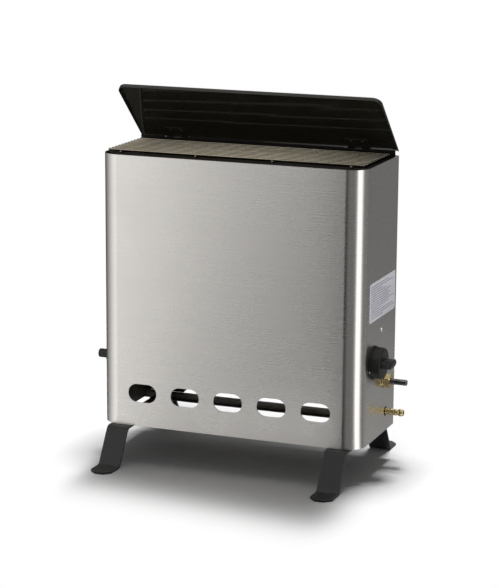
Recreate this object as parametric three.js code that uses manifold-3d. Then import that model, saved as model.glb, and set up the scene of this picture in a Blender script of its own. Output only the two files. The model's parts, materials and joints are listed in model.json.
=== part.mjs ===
// Portable gas cabinet heater: a stainless cabinet on two bent legs, with a gas burner inside,
// a wire grille on top and a hinged lid. Millimetres, +X to the right, +Y to the rear, +Z up.
import * as THREE from 'three';
import { mergeVertices } from 'three/addons/utils/BufferGeometryUtils.js';
import Module from 'manifold-3d';

const manifoldLibrary = await Module();
manifoldLibrary.setup();

// ---------------------------------------------------------------- driving dimensions

// Cabinet
const cabinetWidth = 370;
const cabinetDepth = 144;
const cabinetHeight = 368;
const legHeight = 50;
const cornerRadius = 26;
const wrapThickness = 1;
const rearFlangeWidth = 12;
const linerThickness = 1.2;
const shieldThickness = 0.8;
const seatGap = 0.3;

// Air slots in the front
const slotCount = 5;
const slotSideInset = 61.8;
const slotWidth = 41;
const slotHeight = 25;
const slotCentreAboveBase = 46;

// Linings
const linerFrontInset = 28;
const linerFootWidth = 45;
const footWindowWidth = 12;
const footWindowRearInset = 3.5;
const footWindowLength = 38;
const chimneyFrontInset = 26;
const frontLinerFootAboveBase = 75;

// Foot of the rear panel and the base rails
const baseRailHeight = 10;
const baseRailDepth = 12;
const notchSideInset = 58;
const notchHeight = 26;
const notchFootAboveBase = 8;

// Leg straps
const strapWidth = 30.4;
const strapThickness = 3;
const strapInset = 30;
const strapOverhang = 10.5;
const strapSplay = 29;
const toeLength = 33;
const toeChamfer = 8.8;
const strapBendRadius = 4;
const rivetSpacing = 70;
const rivetRadius = 2.3;
const rivetHoleRadius = 2.6;
const rivetHeadRadius = 4.6;
const rivetHeadHeight = 1.8;

// Top frame
const framePlateThickness = 1.2;
const frameDrop = 0.3;
const frameWindowSideInset = 7;
const frameWindowFrontInset = 26.5;
const frameWindowRearInset = 19;
const frameSkirtHeight = 10;
const frameSkirtThickness = 1;
const upstandInset = 10.5;
const upstandHeight = 7.8;
const upstandNotchHeight = 6.6;
const upstandNotchClearance = 1.5;
const upstandSideInset = 2;

// Grille
const wireCount = 11;
const wireFrontInset = 18.5;
const wireRearInset = 23.5;
const wireRadius = 1.4;
const wireSideInset = 6;
const crossWireCount = 4;
const crossWireSideInset = 24.5;
const crossWireRadius = 1.5;
const crossWireFrontInset = 15.5;
const crossWireRearInset = 14;
const wireWeldDepth = 0.5;

// Lid and its hinges
const lidOpenAngle = THREE.MathUtils.degToRad(44);
const lidFrontInset = 27;
const lidRearOverhang = 4;
const lidThickness = 1;
const lidTopAboveAxis = 3.6;
const lidLipHeight = 6;
const lidCornerRadius = 12;
const hingeAxisInset = 4;
const hingeAxisAboveTop = 5.3;
const hingeSideInset = 55;
const hingePinRadius = 1.25;
const hingeRunningGap = 0.15;
const knuckleRadius = 2.3;
const knuckleLength = 10;
const knuckleSideGap = 0.5;
const hingePlateThickness = 1.2;
const hingePinHeadRadius = 1.84;
const hingePinHeadLength = 1;
const lidLeafThickness = 0.8;
const lidLeafReach = 20;
const lidRivetSpacing = 16;
const lidRivetRadius = 1.5;
const lidRivetHeadRadius = 3;
const lidRivetHeadHeight = 1;
const lidRivetTailRadius = 2.4;
const lidRivetTailHeight = 0.8;
const lidRivetFromLeafEdge = 5;
const lidRivetGap = 0.1;

// Control valve and knob, on the right side
const controlFrontInset = 52.4;
const controlZ = 157;
const controlBushRadius = 6;
const controlBushReach = 5.5;
const controlNutFlats = 15;
const controlNutThickness = 4;
const controlBodyLength = 32;
const controlBodyDepth = 30;
const controlBodyHeight = 28;
const controlPortInset = 16;
const controlOutletInset = 22.4;
const spindleRadius = 3;
const spindleReach = 11.5;
const spindleSocketDepth = 21.3;
const spindleFlatHeight = 1.8;
const knobRadius = 21.4;
const knobFaceRadius = 20.7;
const knobFaceReach = 14.5;
const knobBackReach = 1.9;
const knobEdgeRadius = 2;
const knobWall = 1.9;
const knobHubRadius = 6.5;
const knobGripReach = 26.4;
const knobGripThickness = 12;
const knobGripHalfLength = 16;
const knobGripEdge = 1.4;
const knobGripDraft = 0.4;
const bezelRadius = 22.6;
const bezelBoreRadius = 11;
const bezelThickness = 1.2;

// Flame-failure valve, on the right side
const safetyRearInset = 46;
const safetyZ = 121.6;
const safetyBushRadius = 6.8;
const safetyBushReach = 9.6;
const safetyNutFlats = 17;
const safetyNutThickness = 8;
const safetyNutBevel = 1;
const safetyWasherRadius = 10;
const safetyWasherThickness = 1.4;
const safetyBodyLength = 24;
const safetyBodyDepth = 22;
const safetyBodyHeight = 26;
const pushRodRadius = 4;
const pushRodReach = 32;
const pushRodLength = 52.6;
const pushRodTravel = 6;
const pushRodGap = 0.3;
const pushRodBevel = 0.8;
const safetySpringSolidLength = 7;

// Hose nozzle and inlet, on the right side
const inletRearInset = 36.6;
const inletZ = 77;
const nozzleReach = 25.5;
const nozzleBulbRadius = 4.9;
const nozzleRibRadius = 4.5;
const nozzleNeckRadius = 3.7;
const nozzleBoreRadius = 2.2;
const nozzleStemRadius = 4.3;
const nozzleRibCount = 3;
const nozzleRibPitch = 6;
const nozzleRibCrest = 1.6;
const nozzleRibStep = 0.2;
const nozzleRibFoot = 0.4;
const nozzleBulbLength = 6;
const nozzleBulbTaper = 3;
const nozzleHoleRadius = 6.7;
const nozzleHexFlats = 17;
const nozzleHexLength = 7;
const nozzleInnerLength = 18;
const elbowSize = 16;
const elbowPortLength = 4;

// Valve shoulders and ports
const shoulderRadius = 9;
const shoulderLength = 10;
const portRadius = 5.5;
const portLength = 6;
const leadPortRadius = 4.5;
const leadPortLength = 12;
const pipeRadius = 4;
const burnerPipeRadius = 3.5;
const pipeBendReach = 8;
const holeClearance = 0.4;

// Burner
const burnerY = 4;
const burnerZ = 136;
const burnerLeftInset = 35;
const burnerShoulderInset = 95;
const burnerThroatInset = 85;
const burnerInletInset = 51;
const burnerRadius = 13;
const throatRadius = 8;
const burnerWall = 0.9;
const burnerPortCount = 18;
const burnerPortInset = 18;
const burnerPortWidth = 1.8;
const burnerPortLength = 14;
const airWindowLength = 12;
const airWindowWidth = 6;
const airWindowInset = 75;
const injectorInsertLength = 9;
const injectorHexFlats = 14;
const injectorHexLength = 5;
const injectorTipLength = 4;
const injectorTipRadius = 1.5;
const injectorConeRadius = 3.5;
const bracketLeftInset = 67;
const bracketRightInset = 101;
const bracketThickness = 1.2;
const bracketHeight = 38;
const bracketFlange = 10;

// Spark electrode and thermocouple
const electrodeY = 24;
const electrodeZ = 150;
const electrodeRadius = 3.2;
const electrodeBackLength = 22.5;
const electrodeFrontLength = 7.5;
const electrodeEndTaper = 2;
const electrodeEndRadius = 2;
const electrodeTipRadius = 1;
const electrodeTipLength = 9;
const probeY = -14;
const probeZ = 149;
const probeRadius = 2.5;
const probeBackLength = 21;
const probeFrontLength = 9;
const probeTipLength = 2;
const probeTipRadius = 1.5;
const leadRadius = 1.2;
const leadBendReach = 10;
const ignitionLeadRadius = 1.5;

// Piezo igniter, on the left side
const piezoFrontInset = 35;
const piezoZ = 137;
const buttonRadius = 6;
const buttonReach = 17;
const buttonLength = 29.6;
const buttonTravel = 6;
const buttonGap = 0.3;
const buttonBevel = 1;
const piezoBushRadius = 7.7;
const piezoBushReach = 5;
const piezoBodyRadius = 9;
const piezoBodyLength = 34;
const piezoNutRadius = 10.5;
const piezoNutThickness = 3.4;
const piezoSpringSolidLength = 9;

// Springs
const springWireRadius = 0.5;
const springTurns = 4;
const pushSpringRadius = 3;
const piezoSpringRadius = 4.5;

// Rear screws and label
const screwRadius = 1.7;
const screwHeadRadius = 3.6;
const screwHeadHeight = 1.8;
const screwLength = 7;
const screwInset = 7;
const screwLowAboveBase = 34;
const screwHighBelowTop = 22;
const labelLength = 108;
const labelHeight = 52;
const labelThickness = 0.3;
const labelRearInset = 6;
const labelCentreZ = 239;

// ---------------------------------------------------------------- derived places

const halfWidth = cabinetWidth / 2;
const halfDepth = cabinetDepth / 2;
const cabinetBaseZ = legHeight;
const cabinetTopZ = cabinetBaseZ + cabinetHeight;
const wrapInnerX = halfWidth - wrapThickness;
const wrapInnerY = halfDepth - wrapThickness;
const linerOuterX = wrapInnerX - seatGap;
const linerInnerX = linerOuterX - linerThickness;
const rearPanelRearY = wrapInnerY - seatGap;
const rearPanelFrontY = rearPanelRearY - shieldThickness;
const linerRearY = rearPanelFrontY - seatGap;
const frameTopZ = cabinetTopZ - frameDrop;
const framePlateZ = frameTopZ - framePlateThickness;
const frameCornerCut = cornerRadius - wrapThickness - seatGap;
const lineTopZ = framePlateZ - seatGap;
const crossWireZ = frameTopZ + seatGap + crossWireRadius;
const wireZ = crossWireZ + crossWireRadius + wireRadius - wireWeldDepth;
const hingeAxisY = halfDepth - hingeAxisInset;
const hingeAxisZ = cabinetTopZ + hingeAxisAboveTop;
const slotCentreZ = cabinetBaseZ + slotCentreAboveBase;
const slotPitch = (cabinetWidth - 2 * slotSideInset) / (slotCount - 1);
const linerFrontY = -halfDepth + linerFrontInset;
const chimneyFrontY = -halfDepth + chimneyFrontInset;
const notchHalfWidth = halfWidth - notchSideInset;
const strapCentreX = halfWidth - strapInset;
const frameWindowHalfWidth = halfWidth - frameWindowSideInset;
const frameWindowFrontY = -halfDepth + frameWindowFrontInset;
const frameWindowRearY = halfDepth - frameWindowRearInset;
const upstandY = halfDepth - upstandInset;
const upstandHalfWidth = halfWidth - upstandSideInset;
const firstWireY = -halfDepth + wireFrontInset;
const wirePitch = (cabinetDepth - wireFrontInset - wireRearInset) / (wireCount - 1);
const wireHalfLength = halfWidth - wireSideInset;
const crossWirePitch = (cabinetWidth - 2 * crossWireSideInset) / (crossWireCount - 1);
const crossWireFrontY = -halfDepth + crossWireFrontInset;
const crossWireRearY = halfDepth - crossWireRearInset;
const lidReach = cabinetDepth - hingeAxisInset - lidFrontInset;
const hingeCentreX = halfWidth - hingeSideInset;
const burnerLeftX = -halfWidth + burnerLeftInset;
const burnerShoulderX = halfWidth - burnerShoulderInset;
const burnerThroatX = halfWidth - burnerThroatInset;
const burnerInletX = halfWidth - burnerInletInset;
const airWindowX = halfWidth - airWindowInset;
const bracketLeftX = -halfWidth + bracketLeftInset;
const bracketRightX = halfWidth - bracketRightInset;
const labelCentreY = halfDepth - labelRearInset - labelLength / 2;
const controlY = -halfDepth + controlFrontInset;
const safetyY = halfDepth - safetyRearInset;
const inletY = halfDepth - inletRearInset;
const piezoY = -halfDepth + piezoFrontInset;
const railBaseZ = cabinetBaseZ + linerThickness + seatGap;
const innerFaceU = -(halfWidth - linerInnerX) - seatGap;
const bodyFaceU = innerFaceU - shoulderLength;
const controlPortU = bodyFaceU - controlPortInset;
const controlOutletU = bodyFaceU - controlOutletInset;
const spindleSocketU = bodyFaceU - spindleSocketDepth;

// Facets: sides of a full circle, and steps of a half turn in an outline
const fineSegments = 36;
const roundSegments = 20;
const smallSegments = 12;
const wireSides = 6;
const arcSegments = 6;

// ---------------------------------------------------------------- materials

const finish = (color, roughness, metalness) =>
  new THREE.MeshStandardMaterial({ color, roughness, metalness });
const stainless = finish(0xb8b6b2, 0.35, 1);
const blackSheet = finish(0x1c1c1b, 0.6, 0.2);
const blackEnamel = finish(0x0e0e0c, 0.12, 0.1);
const legPaint = finish(0x2e2e2e, 0.65, 0.1);
const nickelWire = finish(0x9a958a, 0.3, 1);
const zincSteel = finish(0xa8a9a6, 0.4, 0.9);
const brass = finish(0xb9924a, 0.3, 1);
const blackPlastic = finish(0x1e1e1d, 0.5, 0);
const glossyRod = finish(0x151515, 0.2, 0.1);
const aluminium = finish(0xa9abad, 0.45, 0.9);
const copper = finish(0xb0714a, 0.35, 1);
const ceramic = finish(0xe8e4da, 0.4, 0);
const leadSleeve = finish(0x2a2523, 0.7, 0);
const labelFoil = finish(0xc9c8cf, 0.5, 0.3);

// ---------------------------------------------------------------- shape helpers

// Shared corners merged and flat slivers dropped, so that the mesh is closed.
function weld(geometry) {
  const bare = geometry.clone();
  bare.deleteAttribute('normal');
  bare.deleteAttribute('uv');
  const merged = mergeVertices(bare, 1e-4);
  const source = merged.index.array;
  const kept = [];
  for (let i = 0; i < source.length; i += 3) {
    const [a, b, c] = [source[i], source[i + 1], source[i + 2]];
    if (a !== b && b !== c && a !== c) kept.push(a, b, c);
  }
  merged.setIndex(kept);
  return merged;
}

// A manifold solid of the mesh, turned right side out if its faces pointed inwards.
function toSolid(geometry) {
  const welded = weld(geometry);
  const vertProperties = new Float32Array(welded.attributes.position.array);
  const triVerts = new Uint32Array(welded.index.array);
  const build = () => new manifoldLibrary.Manifold(
    new manifoldLibrary.Mesh({ numProp: 3, vertProperties, triVerts }));
  const solid = build();
  if (solid.volume() > 0) return solid;
  for (let i = 0; i < triVerts.length; i += 3) {
    [triVerts[i], triVerts[i + 1]] = [triVerts[i + 1], triVerts[i]];
  }
  return build();
}

function toGeometry(solid) {
  const mesh = solid.getMesh();
  const geometry = new THREE.BufferGeometry();
  geometry.setAttribute('position', new THREE.BufferAttribute(new Float32Array(mesh.vertProperties), 3));
  geometry.setIndex(Array.from(mesh.triVerts));
  geometry.computeVertexNormals();
  return geometry;
}

const cut = (base, ...tools) =>
  toGeometry(tools.reduce((solid, tool) => solid.subtract(toSolid(tool)), toSolid(base)));
const join = (...pieces) =>
  toGeometry(pieces.slice(1).reduce((solid, piece) => solid.add(toSolid(piece)), toSolid(pieces[0])));
const overlap = (first, second) => toGeometry(toSolid(first).intersect(toSolid(second)));

// A block between two corners.
function block([x0, y0, z0], [x1, y1, z1]) {
  const geometry = new THREE.BoxGeometry(Math.abs(x1 - x0), Math.abs(y1 - y0), Math.abs(z1 - z0));
  return geometry.translate((x0 + x1) / 2, (y0 + y1) / 2, (z0 + z1) / 2);
}

// A cylinder along X from x0 to x1, centred on y and z.
function rodX(radius, x0, x1, y = 0, z = 0, segments = roundSegments) {
  const geometry = new THREE.CylinderGeometry(radius, radius, Math.abs(x1 - x0), segments);
  return geometry.rotateZ(-Math.PI / 2).translate((x0 + x1) / 2, y, z);
}

function rodY(radius, y0, y1, x = 0, z = 0, segments = roundSegments) {
  const geometry = new THREE.CylinderGeometry(radius, radius, Math.abs(y1 - y0), segments);
  return geometry.translate(x, (y0 + y1) / 2, z);
}

function rodZ(radius, z0, z1, x = 0, y = 0, segments = roundSegments) {
  const geometry = new THREE.CylinderGeometry(radius, radius, Math.abs(z1 - z0), segments);
  return geometry.rotateX(Math.PI / 2).translate(x, y, (z0 + z1) / 2);
}

// A turned solid along X. Each profile point is [place along X, radius].
function latheX(profile, segments = roundSegments) {
  const points = profile.map(([x, radius]) => new THREE.Vector2(radius, x));
  return new THREE.LatheGeometry(points, segments).rotateZ(-Math.PI / 2);
}

function shapeOf(points) {
  return new THREE.Shape(points.map(([a, b]) => new THREE.Vector2(a, b)));
}

const extrudeOptions = (depth) => ({ depth, bevelEnabled: false, curveSegments: arcSegments });

// Shapes drawn in (X, Y), (X, Z) and (Y, Z), drawn out along the third axis.
const extrudeZ = (shape, z0, z1) =>
  new THREE.ExtrudeGeometry(shape, extrudeOptions(z1 - z0)).translate(0, 0, z0);
const extrudeY = (shape, y0, y1) =>
  new THREE.ExtrudeGeometry(shape, extrudeOptions(y1 - y0)).rotateX(Math.PI / 2).translate(0, y1, 0);
function extrudeX(shape, x0, x1) {
  const turn = new THREE.Matrix4().makeBasis(
    new THREE.Vector3(0, 1, 0), new THREE.Vector3(0, 0, 1), new THREE.Vector3(1, 0, 0));
  return new THREE.ExtrudeGeometry(shape, extrudeOptions(x1 - x0)).applyMatrix4(turn).translate(x0, 0, 0);
}

// A hexagonal bar along X.
function hexX(acrossFlats, x0, x1) {
  const radius = acrossFlats / 2 / Math.cos(Math.PI / 6);
  return rodX(radius, x0, x1, 0, 0, 6);
}

// A round rod bent along a smooth line through the points.
function bentRod(points, radius, steps, sides = 8) {
  const path = new THREE.CatmullRomCurve3(points.map(([x, y, z]) => new THREE.Vector3(x, y, z)));
  const section = new THREE.Shape().absarc(0, 0, radius, 0, Math.PI * 2);
  return new THREE.ExtrudeGeometry(section, {
    steps, extrudePath: path, bevelEnabled: false, curveSegments: sides / 2,
  });
}

// A coil spring along X: a round wire wound between x0 and x1.
function coilX(coilRadius, x0, x1, turns = springTurns) {
  const stepsPerTurn = 8;
  const steps = turns * stepsPerTurn;
  const start = x0 + springWireRadius;
  const rise = (x1 - x0 - 2 * springWireRadius) / steps;
  const points = [];
  for (let step = 0; step <= steps; step += 1) {
    const angle = (step / stepsPerTurn) * Math.PI * 2;
    points.push([start + rise * step, coilRadius * Math.cos(angle), coilRadius * Math.sin(angle)]);
  }
  return bentRod(points, springWireRadius, steps, 6);
}

// An oblong in (X, Z) with full round ends.
function oblong(centreX, centreZ, width, height) {
  const radius = height / 2;
  const straight = width / 2 - radius;
  const shape = new THREE.Shape();
  shape.absarc(centreX + straight, centreZ, radius, -Math.PI / 2, Math.PI / 2);
  shape.absarc(centreX - straight, centreZ, radius, Math.PI / 2, Math.PI * 1.5);
  return shape;
}

// ---------------------------------------------------------------- scene helpers

const heater = new THREE.Group();

function group(x, y, z, parent = heater) {
  const made = new THREE.Group();
  made.position.set(x, y, z);
  parent.add(made);
  return made;
}

function add(parent, name, geometry, material, position = [0, 0, 0]) {
  const mesh = new THREE.Mesh(weld(geometry), material);
  mesh.geometry.computeVertexNormals();
  mesh.name = name;
  mesh.position.set(...position);
  parent.add(mesh);
  return mesh;
}

const sides = [['left', -1], ['right', 1]];
const ends = [['front', -1], ['rear', 1]];

// ---------------------------------------------------------------- cabinet

// Plan of the bent sheet: flange, side, round corner, front, round corner, side, flange.
function wrapPlan() {
  const innerRadius = cornerRadius - wrapThickness;
  const cornerX = halfWidth - cornerRadius;
  const cornerY = -halfDepth + cornerRadius;
  const flangeX = halfWidth - rearFlangeWidth;
  const plan = new THREE.Shape();
  plan.moveTo(-flangeX, halfDepth);
  plan.lineTo(-halfWidth, halfDepth);
  plan.lineTo(-halfWidth, cornerY);
  plan.absarc(-cornerX, cornerY, cornerRadius, Math.PI, Math.PI * 1.5);
  plan.absarc(cornerX, cornerY, cornerRadius, Math.PI * 1.5, Math.PI * 2);
  plan.lineTo(halfWidth, halfDepth);
  plan.lineTo(flangeX, halfDepth);
  plan.lineTo(flangeX, wrapInnerY);
  plan.lineTo(wrapInnerX, wrapInnerY);
  plan.lineTo(wrapInnerX, cornerY);
  plan.absarc(cornerX, cornerY, innerRadius, Math.PI * 2, Math.PI * 1.5, true);
  plan.absarc(-cornerX, cornerY, innerRadius, Math.PI * 1.5, Math.PI, true);
  plan.lineTo(-wrapInnerX, wrapInnerY);
  plan.lineTo(-flangeX, wrapInnerY);
  return plan;
}

function slotCutters() {
  const cutters = [];
  for (let i = 0; i < slotCount; i += 1) {
    const x = (i - (slotCount - 1) / 2) * slotPitch;
    cutters.push(extrudeY(oblong(x, slotCentreZ, slotWidth, slotHeight), -halfDepth - 1, -wrapInnerY + 1));
  }
  return cutters;
}

// The holes that the valves and the nozzle pass through in the right wall.
function rightWallHoles() {
  const inner = linerInnerX - 1;
  const outer = halfWidth + 1;
  return [
    rodX(controlBushRadius + holeClearance, inner, outer, controlY, controlZ),
    rodX(safetyBushRadius + holeClearance, inner, outer, safetyY, safetyZ),
    rodX(nozzleHoleRadius, inner, outer, inletY, inletZ),
  ];
}

function leftWallHoles() {
  return [rodX(piezoBushRadius + holeClearance, -halfWidth - 1, -linerInnerX + 1, piezoY, piezoZ)];
}

// Screw places on the rear flanges: [x, z].
function screwPlaces() {
  const x = halfWidth - screwInset;
  return [
    ['lower_left', -x, cabinetBaseZ + screwLowAboveBase],
    ['lower_right', x, cabinetBaseZ + screwLowAboveBase],
    ['upper_left', -x, cabinetTopZ - screwHighBelowTop],
    ['upper_right', x, cabinetTopZ - screwHighBelowTop],
  ];
}

const screwHoles = () => screwPlaces().map(([, x, z]) =>
  rodY(screwRadius + holeClearance, rearPanelFrontY - 1, halfDepth + 1, x, z, smallSegments));

function outerWrap() {
  const sheet = extrudeZ(wrapPlan(), cabinetBaseZ, cabinetTopZ);
  return cut(sheet, ...slotCutters(), ...rightWallHoles(), ...leftWallHoles(), ...screwHoles());
}

// A black sheet inside the rear flanges, cut away at its foot with sloping shoulders.
function rearPanel() {
  const panelBaseZ = railBaseZ + baseRailHeight + seatGap;
  const footZ = cabinetBaseZ + notchFootAboveBase;
  const sheet = block([-linerOuterX, rearPanelFrontY, panelBaseZ], [linerOuterX, rearPanelRearY, lineTopZ]);
  const notch = shapeOf([
    [-notchHalfWidth, footZ],
    [notchHalfWidth, footZ],
    [notchHalfWidth - notchHeight, footZ + notchHeight],
    [-notchHalfWidth + notchHeight, footZ + notchHeight],
  ]);
  return cut(sheet, extrudeY(notch, rearPanelFrontY - 1, rearPanelRearY + 1), ...screwHoles());
}

// An angle against one side of the wrap, with the foot that the leg strap is riveted to.
function sideLiner(side) {
  const profile = shapeOf([
    [side * linerOuterX, cabinetBaseZ],
    [side * linerOuterX, lineTopZ],
    [side * linerInnerX, lineTopZ],
    [side * linerInnerX, cabinetBaseZ + linerThickness],
    [side * (linerOuterX - linerFootWidth), cabinetBaseZ + linerThickness],
    [side * (linerOuterX - linerFootWidth), cabinetBaseZ],
  ]);
  const rivetHoles = ends.map(([, end]) => rodZ(rivetHoleRadius, cabinetBaseZ - 1,
    cabinetBaseZ + linerThickness + 1, side * strapCentreX, end * rivetSpacing / 2));
  const wallHoles = side > 0 ? rightWallHoles() : leftWallHoles();
  return cut(extrudeY(profile, linerFrontY, linerRearY), footWindow(side), ...rivetHoles, ...wallHoles);
}

// The air window in the liner's foot, between the leg strap and the wall.
function footWindow(side) {
  const reach = footWindowWidth / 2;
  const centreX = side * (linerInnerX - reach);
  const rearY = halfDepth - footWindowRearInset;
  return block([centreX - reach, rearY - footWindowLength, cabinetBaseZ - 1],
    [centreX + reach, rearY, cabinetBaseZ + linerThickness + 1]);
}

function frontLiner() {
  const width = linerInnerX - seatGap;
  return block([-width, chimneyFrontY - shieldThickness, cabinetBaseZ + frontLinerFootAboveBase],
    [width, chimneyFrontY, lineTopZ]);
}

// A channel on its side, open towards the middle of the cabinet.
function baseRail(halfLength, faceY, inward) {
  const web = shieldThickness;
  const profile = shapeOf([
    [faceY, railBaseZ],
    [faceY + inward * baseRailDepth, railBaseZ],
    [faceY + inward * baseRailDepth, railBaseZ + web],
    [faceY + inward * web, railBaseZ + web],
    [faceY + inward * web, railBaseZ + baseRailHeight - web],
    [faceY + inward * baseRailDepth, railBaseZ + baseRailHeight - web],
    [faceY + inward * baseRailDepth, railBaseZ + baseRailHeight],
    [faceY, railBaseZ + baseRailHeight],
  ]);
  return extrudeX(profile, -halfLength, halfLength);
}

// The rear rail: its flanges end at the air windows and its back runs on behind them.
function rearBaseRail() {
  const rail = baseRail(linerInnerX - seatGap, rearPanelRearY, -1);
  const flangeEndX = linerInnerX - footWindowWidth;
  const windows = sides.map(([, side]) => block(
    [side * flangeEndX, rearPanelRearY - baseRailDepth - 1, railBaseZ - 1],
    [side * (linerInnerX + 1), rearPanelRearY - shieldThickness, railBaseZ + baseRailHeight + 1]));
  return cut(rail, ...windows);
}

function topFrame() {
  const x = linerOuterX;
  const frontY = -rearPanelRearY;
  const plate = extrudeZ(shapeOf([
    [-x, rearPanelRearY],
    [-x, frontY + frameCornerCut],
    [-x + frameCornerCut, frontY],
    [x - frameCornerCut, frontY],
    [x, frontY + frameCornerCut],
    [x, rearPanelRearY],
  ]), framePlateZ, frameTopZ);
  const wall = frameSkirtThickness;
  const skirtZ = frameTopZ - frameSkirtHeight;
  const skirt = block([-frameWindowHalfWidth, frameWindowFrontY, skirtZ],
    [frameWindowHalfWidth, frameWindowRearY, frameTopZ]);
  const window = block([-frameWindowHalfWidth + wall, frameWindowFrontY + wall, skirtZ - 1],
    [frameWindowHalfWidth - wall, frameWindowRearY - wall, frameTopZ + 1]);
  const upstand = block([-upstandHalfWidth, upstandY, framePlateZ],
    [upstandHalfWidth, upstandY + wall, frameTopZ + upstandHeight]);
  return cut(join(plate, skirt, upstand), window, ...upstandNotches());
}

// Room in the upstand for the lid's hinge leaves.
function upstandNotches() {
  const reach = lidRivetSpacing + upstandNotchClearance;
  return sides.map(([, side]) => block(
    [side * hingeCentreX - reach, upstandY - 1, frameTopZ + upstandNotchHeight],
    [side * hingeCentreX + reach, upstandY + frameSkirtThickness + 1, frameTopZ + upstandHeight + 1]));
}

// ---------------------------------------------------------------- legs

// Side view of one strap: toe, slanting leg, the run under the cabinet, leg and toe.
// Each point has the reach of the bend rounded there.
function strapProfile() {
  const topZ = cabinetBaseZ - seatGap;
  const thick = strapThickness;
  const shoulderY = halfDepth + strapOverhang;
  const heelY = shoulderY + strapSplay;
  const tipY = heelY + toeLength;
  const rise = topZ - thick;
  const lift = thick * (Math.hypot(strapSplay, rise) - strapSplay) / rise;
  const inside = strapBendRadius;
  const outside = strapBendRadius + lift;
  return [
    [-tipY, thick, 0],
    [-heelY, thick, inside],
    [-shoulderY, topZ, outside],
    [shoulderY, topZ, outside],
    [heelY, thick, inside],
    [tipY, thick, 0],
    [tipY, 0, 0],
    [heelY - lift, 0, outside],
    [shoulderY - lift, rise, inside],
    [-shoulderY + lift, rise, inside],
    [-heelY + lift, 0, outside],
    [-tipY, 0, 0],
  ];
}

// A closed outline of [a, b, reach], with each corner rounded over its reach.
function roundedShape(points) {
  const corner = (i) => new THREE.Vector2(...points[(i + points.length) % points.length]);
  const shape = new THREE.Shape();
  points.forEach(([, , reach], i) => {
    const here = corner(i);
    const start = here.clone().add(corner(i - 1).sub(here).setLength(reach));
    const end = here.clone().add(corner(i + 1).sub(here).setLength(reach));
    if (i === 0) shape.moveTo(start.x, start.y);
    else shape.lineTo(start.x, start.y);
    if (reach > 0) shape.quadraticCurveTo(here.x, here.y, end.x, end.y);
  });
  return shape;
}

function legStrap() {
  const tipY = halfDepth + strapOverhang + strapSplay + toeLength;
  const x = strapWidth / 2;
  const bar = extrudeX(roundedShape(strapProfile()), -x, x);
  const plan = shapeOf([
    [-x, -tipY + toeChamfer],
    [-x + toeChamfer, -tipY],
    [x - toeChamfer, -tipY],
    [x, -tipY + toeChamfer],
    [x, tipY - toeChamfer],
    [x - toeChamfer, tipY],
    [-x + toeChamfer, tipY],
    [-x, tipY - toeChamfer],
  ]);
  const trimmed = overlap(bar, extrudeZ(plan, -1, cabinetBaseZ));
  const holes = ends.map(([, end]) =>
    rodZ(rivetHoleRadius, 0, cabinetBaseZ, 0, end * rivetSpacing / 2));
  return cut(trimmed, ...holes);
}

// Both heads and the shank that hold a strap to a side liner's foot; z = 0 at the cabinet's base.
function legRivet() {
  const strapUnder = -seatGap - strapThickness;
  const footTop = linerThickness;
  return join(
    rodZ(rivetHeadRadius, strapUnder - seatGap - rivetHeadHeight, strapUnder - seatGap),
    rodZ(rivetRadius, strapUnder - seatGap - 1, footTop + seatGap + 1),
    rodZ(rivetHeadRadius - 1, footTop + seatGap, footTop + seatGap + rivetHeadHeight),
  );
}

// ---------------------------------------------------------------- grille

// Long wires lying on cross wires, welded where they touch.
function grille() {
  const pieces = [];
  for (let i = 0; i < crossWireCount; i += 1) {
    const x = (i - (crossWireCount - 1) / 2) * crossWirePitch;
    pieces.push(rodY(crossWireRadius, crossWireFrontY, crossWireRearY, x, crossWireZ, wireSides));
  }
  for (let i = 0; i < wireCount; i += 1) {
    const y = firstWireY + i * wirePitch;
    pieces.push(rodX(wireRadius, -wireHalfLength, wireHalfLength, y, wireZ, wireSides));
  }
  return join(...pieces);
}

// ---------------------------------------------------------------- lid, drawn shut, hinge axis at 0

const lidUnderside = lidTopAboveAxis - lidThickness;
const leafTop = lidUnderside - seatGap;
const leafBase = leafTop - lidLeafThickness;
const pinBoreRadius = hingePinRadius + hingeRunningGap;
const lidRivetY = -lidLeafReach + lidRivetFromLeafEdge;

// Plan of the lid: square at the hinge, rounded at the front corners.
function lidPlan(inset, rearY) {
  const x = halfWidth - inset;
  const frontY = -lidReach + inset;
  const radius = lidCornerRadius - inset;
  const plan = new THREE.Shape();
  plan.moveTo(-x, rearY);
  plan.lineTo(-x, frontY + radius);
  plan.absarc(-x + radius, frontY + radius, radius, Math.PI, Math.PI * 1.5);
  plan.absarc(x - radius, frontY + radius, radius, Math.PI * 1.5, Math.PI * 2);
  plan.lineTo(x, rearY);
  return plan;
}

function lidRivetPlaces() {
  const places = [];
  for (const [sideName, side] of sides) {
    for (const [offsetName, offset] of [['inner', -1], ['outer', 1]]) {
      const x = side * (hingeCentreX + offset * lidRivetSpacing / 2);
      places.push([`lid_rivet_${sideName}_${offsetName}`, x, lidRivetY]);
    }
  }
  return places;
}

const lidRivetHoles = () => lidRivetPlaces().map(([, x, y]) =>
  rodZ(lidRivetRadius + hingeRunningGap, leafBase - 1, lidTopAboveAxis + 1, x, y, smallSegments));

function lid() {
  const outer = extrudeZ(lidPlan(0, lidRearOverhang), lidTopAboveAxis - lidLipHeight, lidTopAboveAxis);
  const hollow = extrudeZ(lidPlan(lidThickness, lidRearOverhang + 1),
    lidTopAboveAxis - lidLipHeight - 1, lidUnderside);
  return cut(outer, hollow, ...lidRivetHoles());
}

const knuckleCutter = () => rodX(pinBoreRadius, -knuckleLength * 3, knuckleLength * 3, 0, 0, smallSegments);

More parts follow.
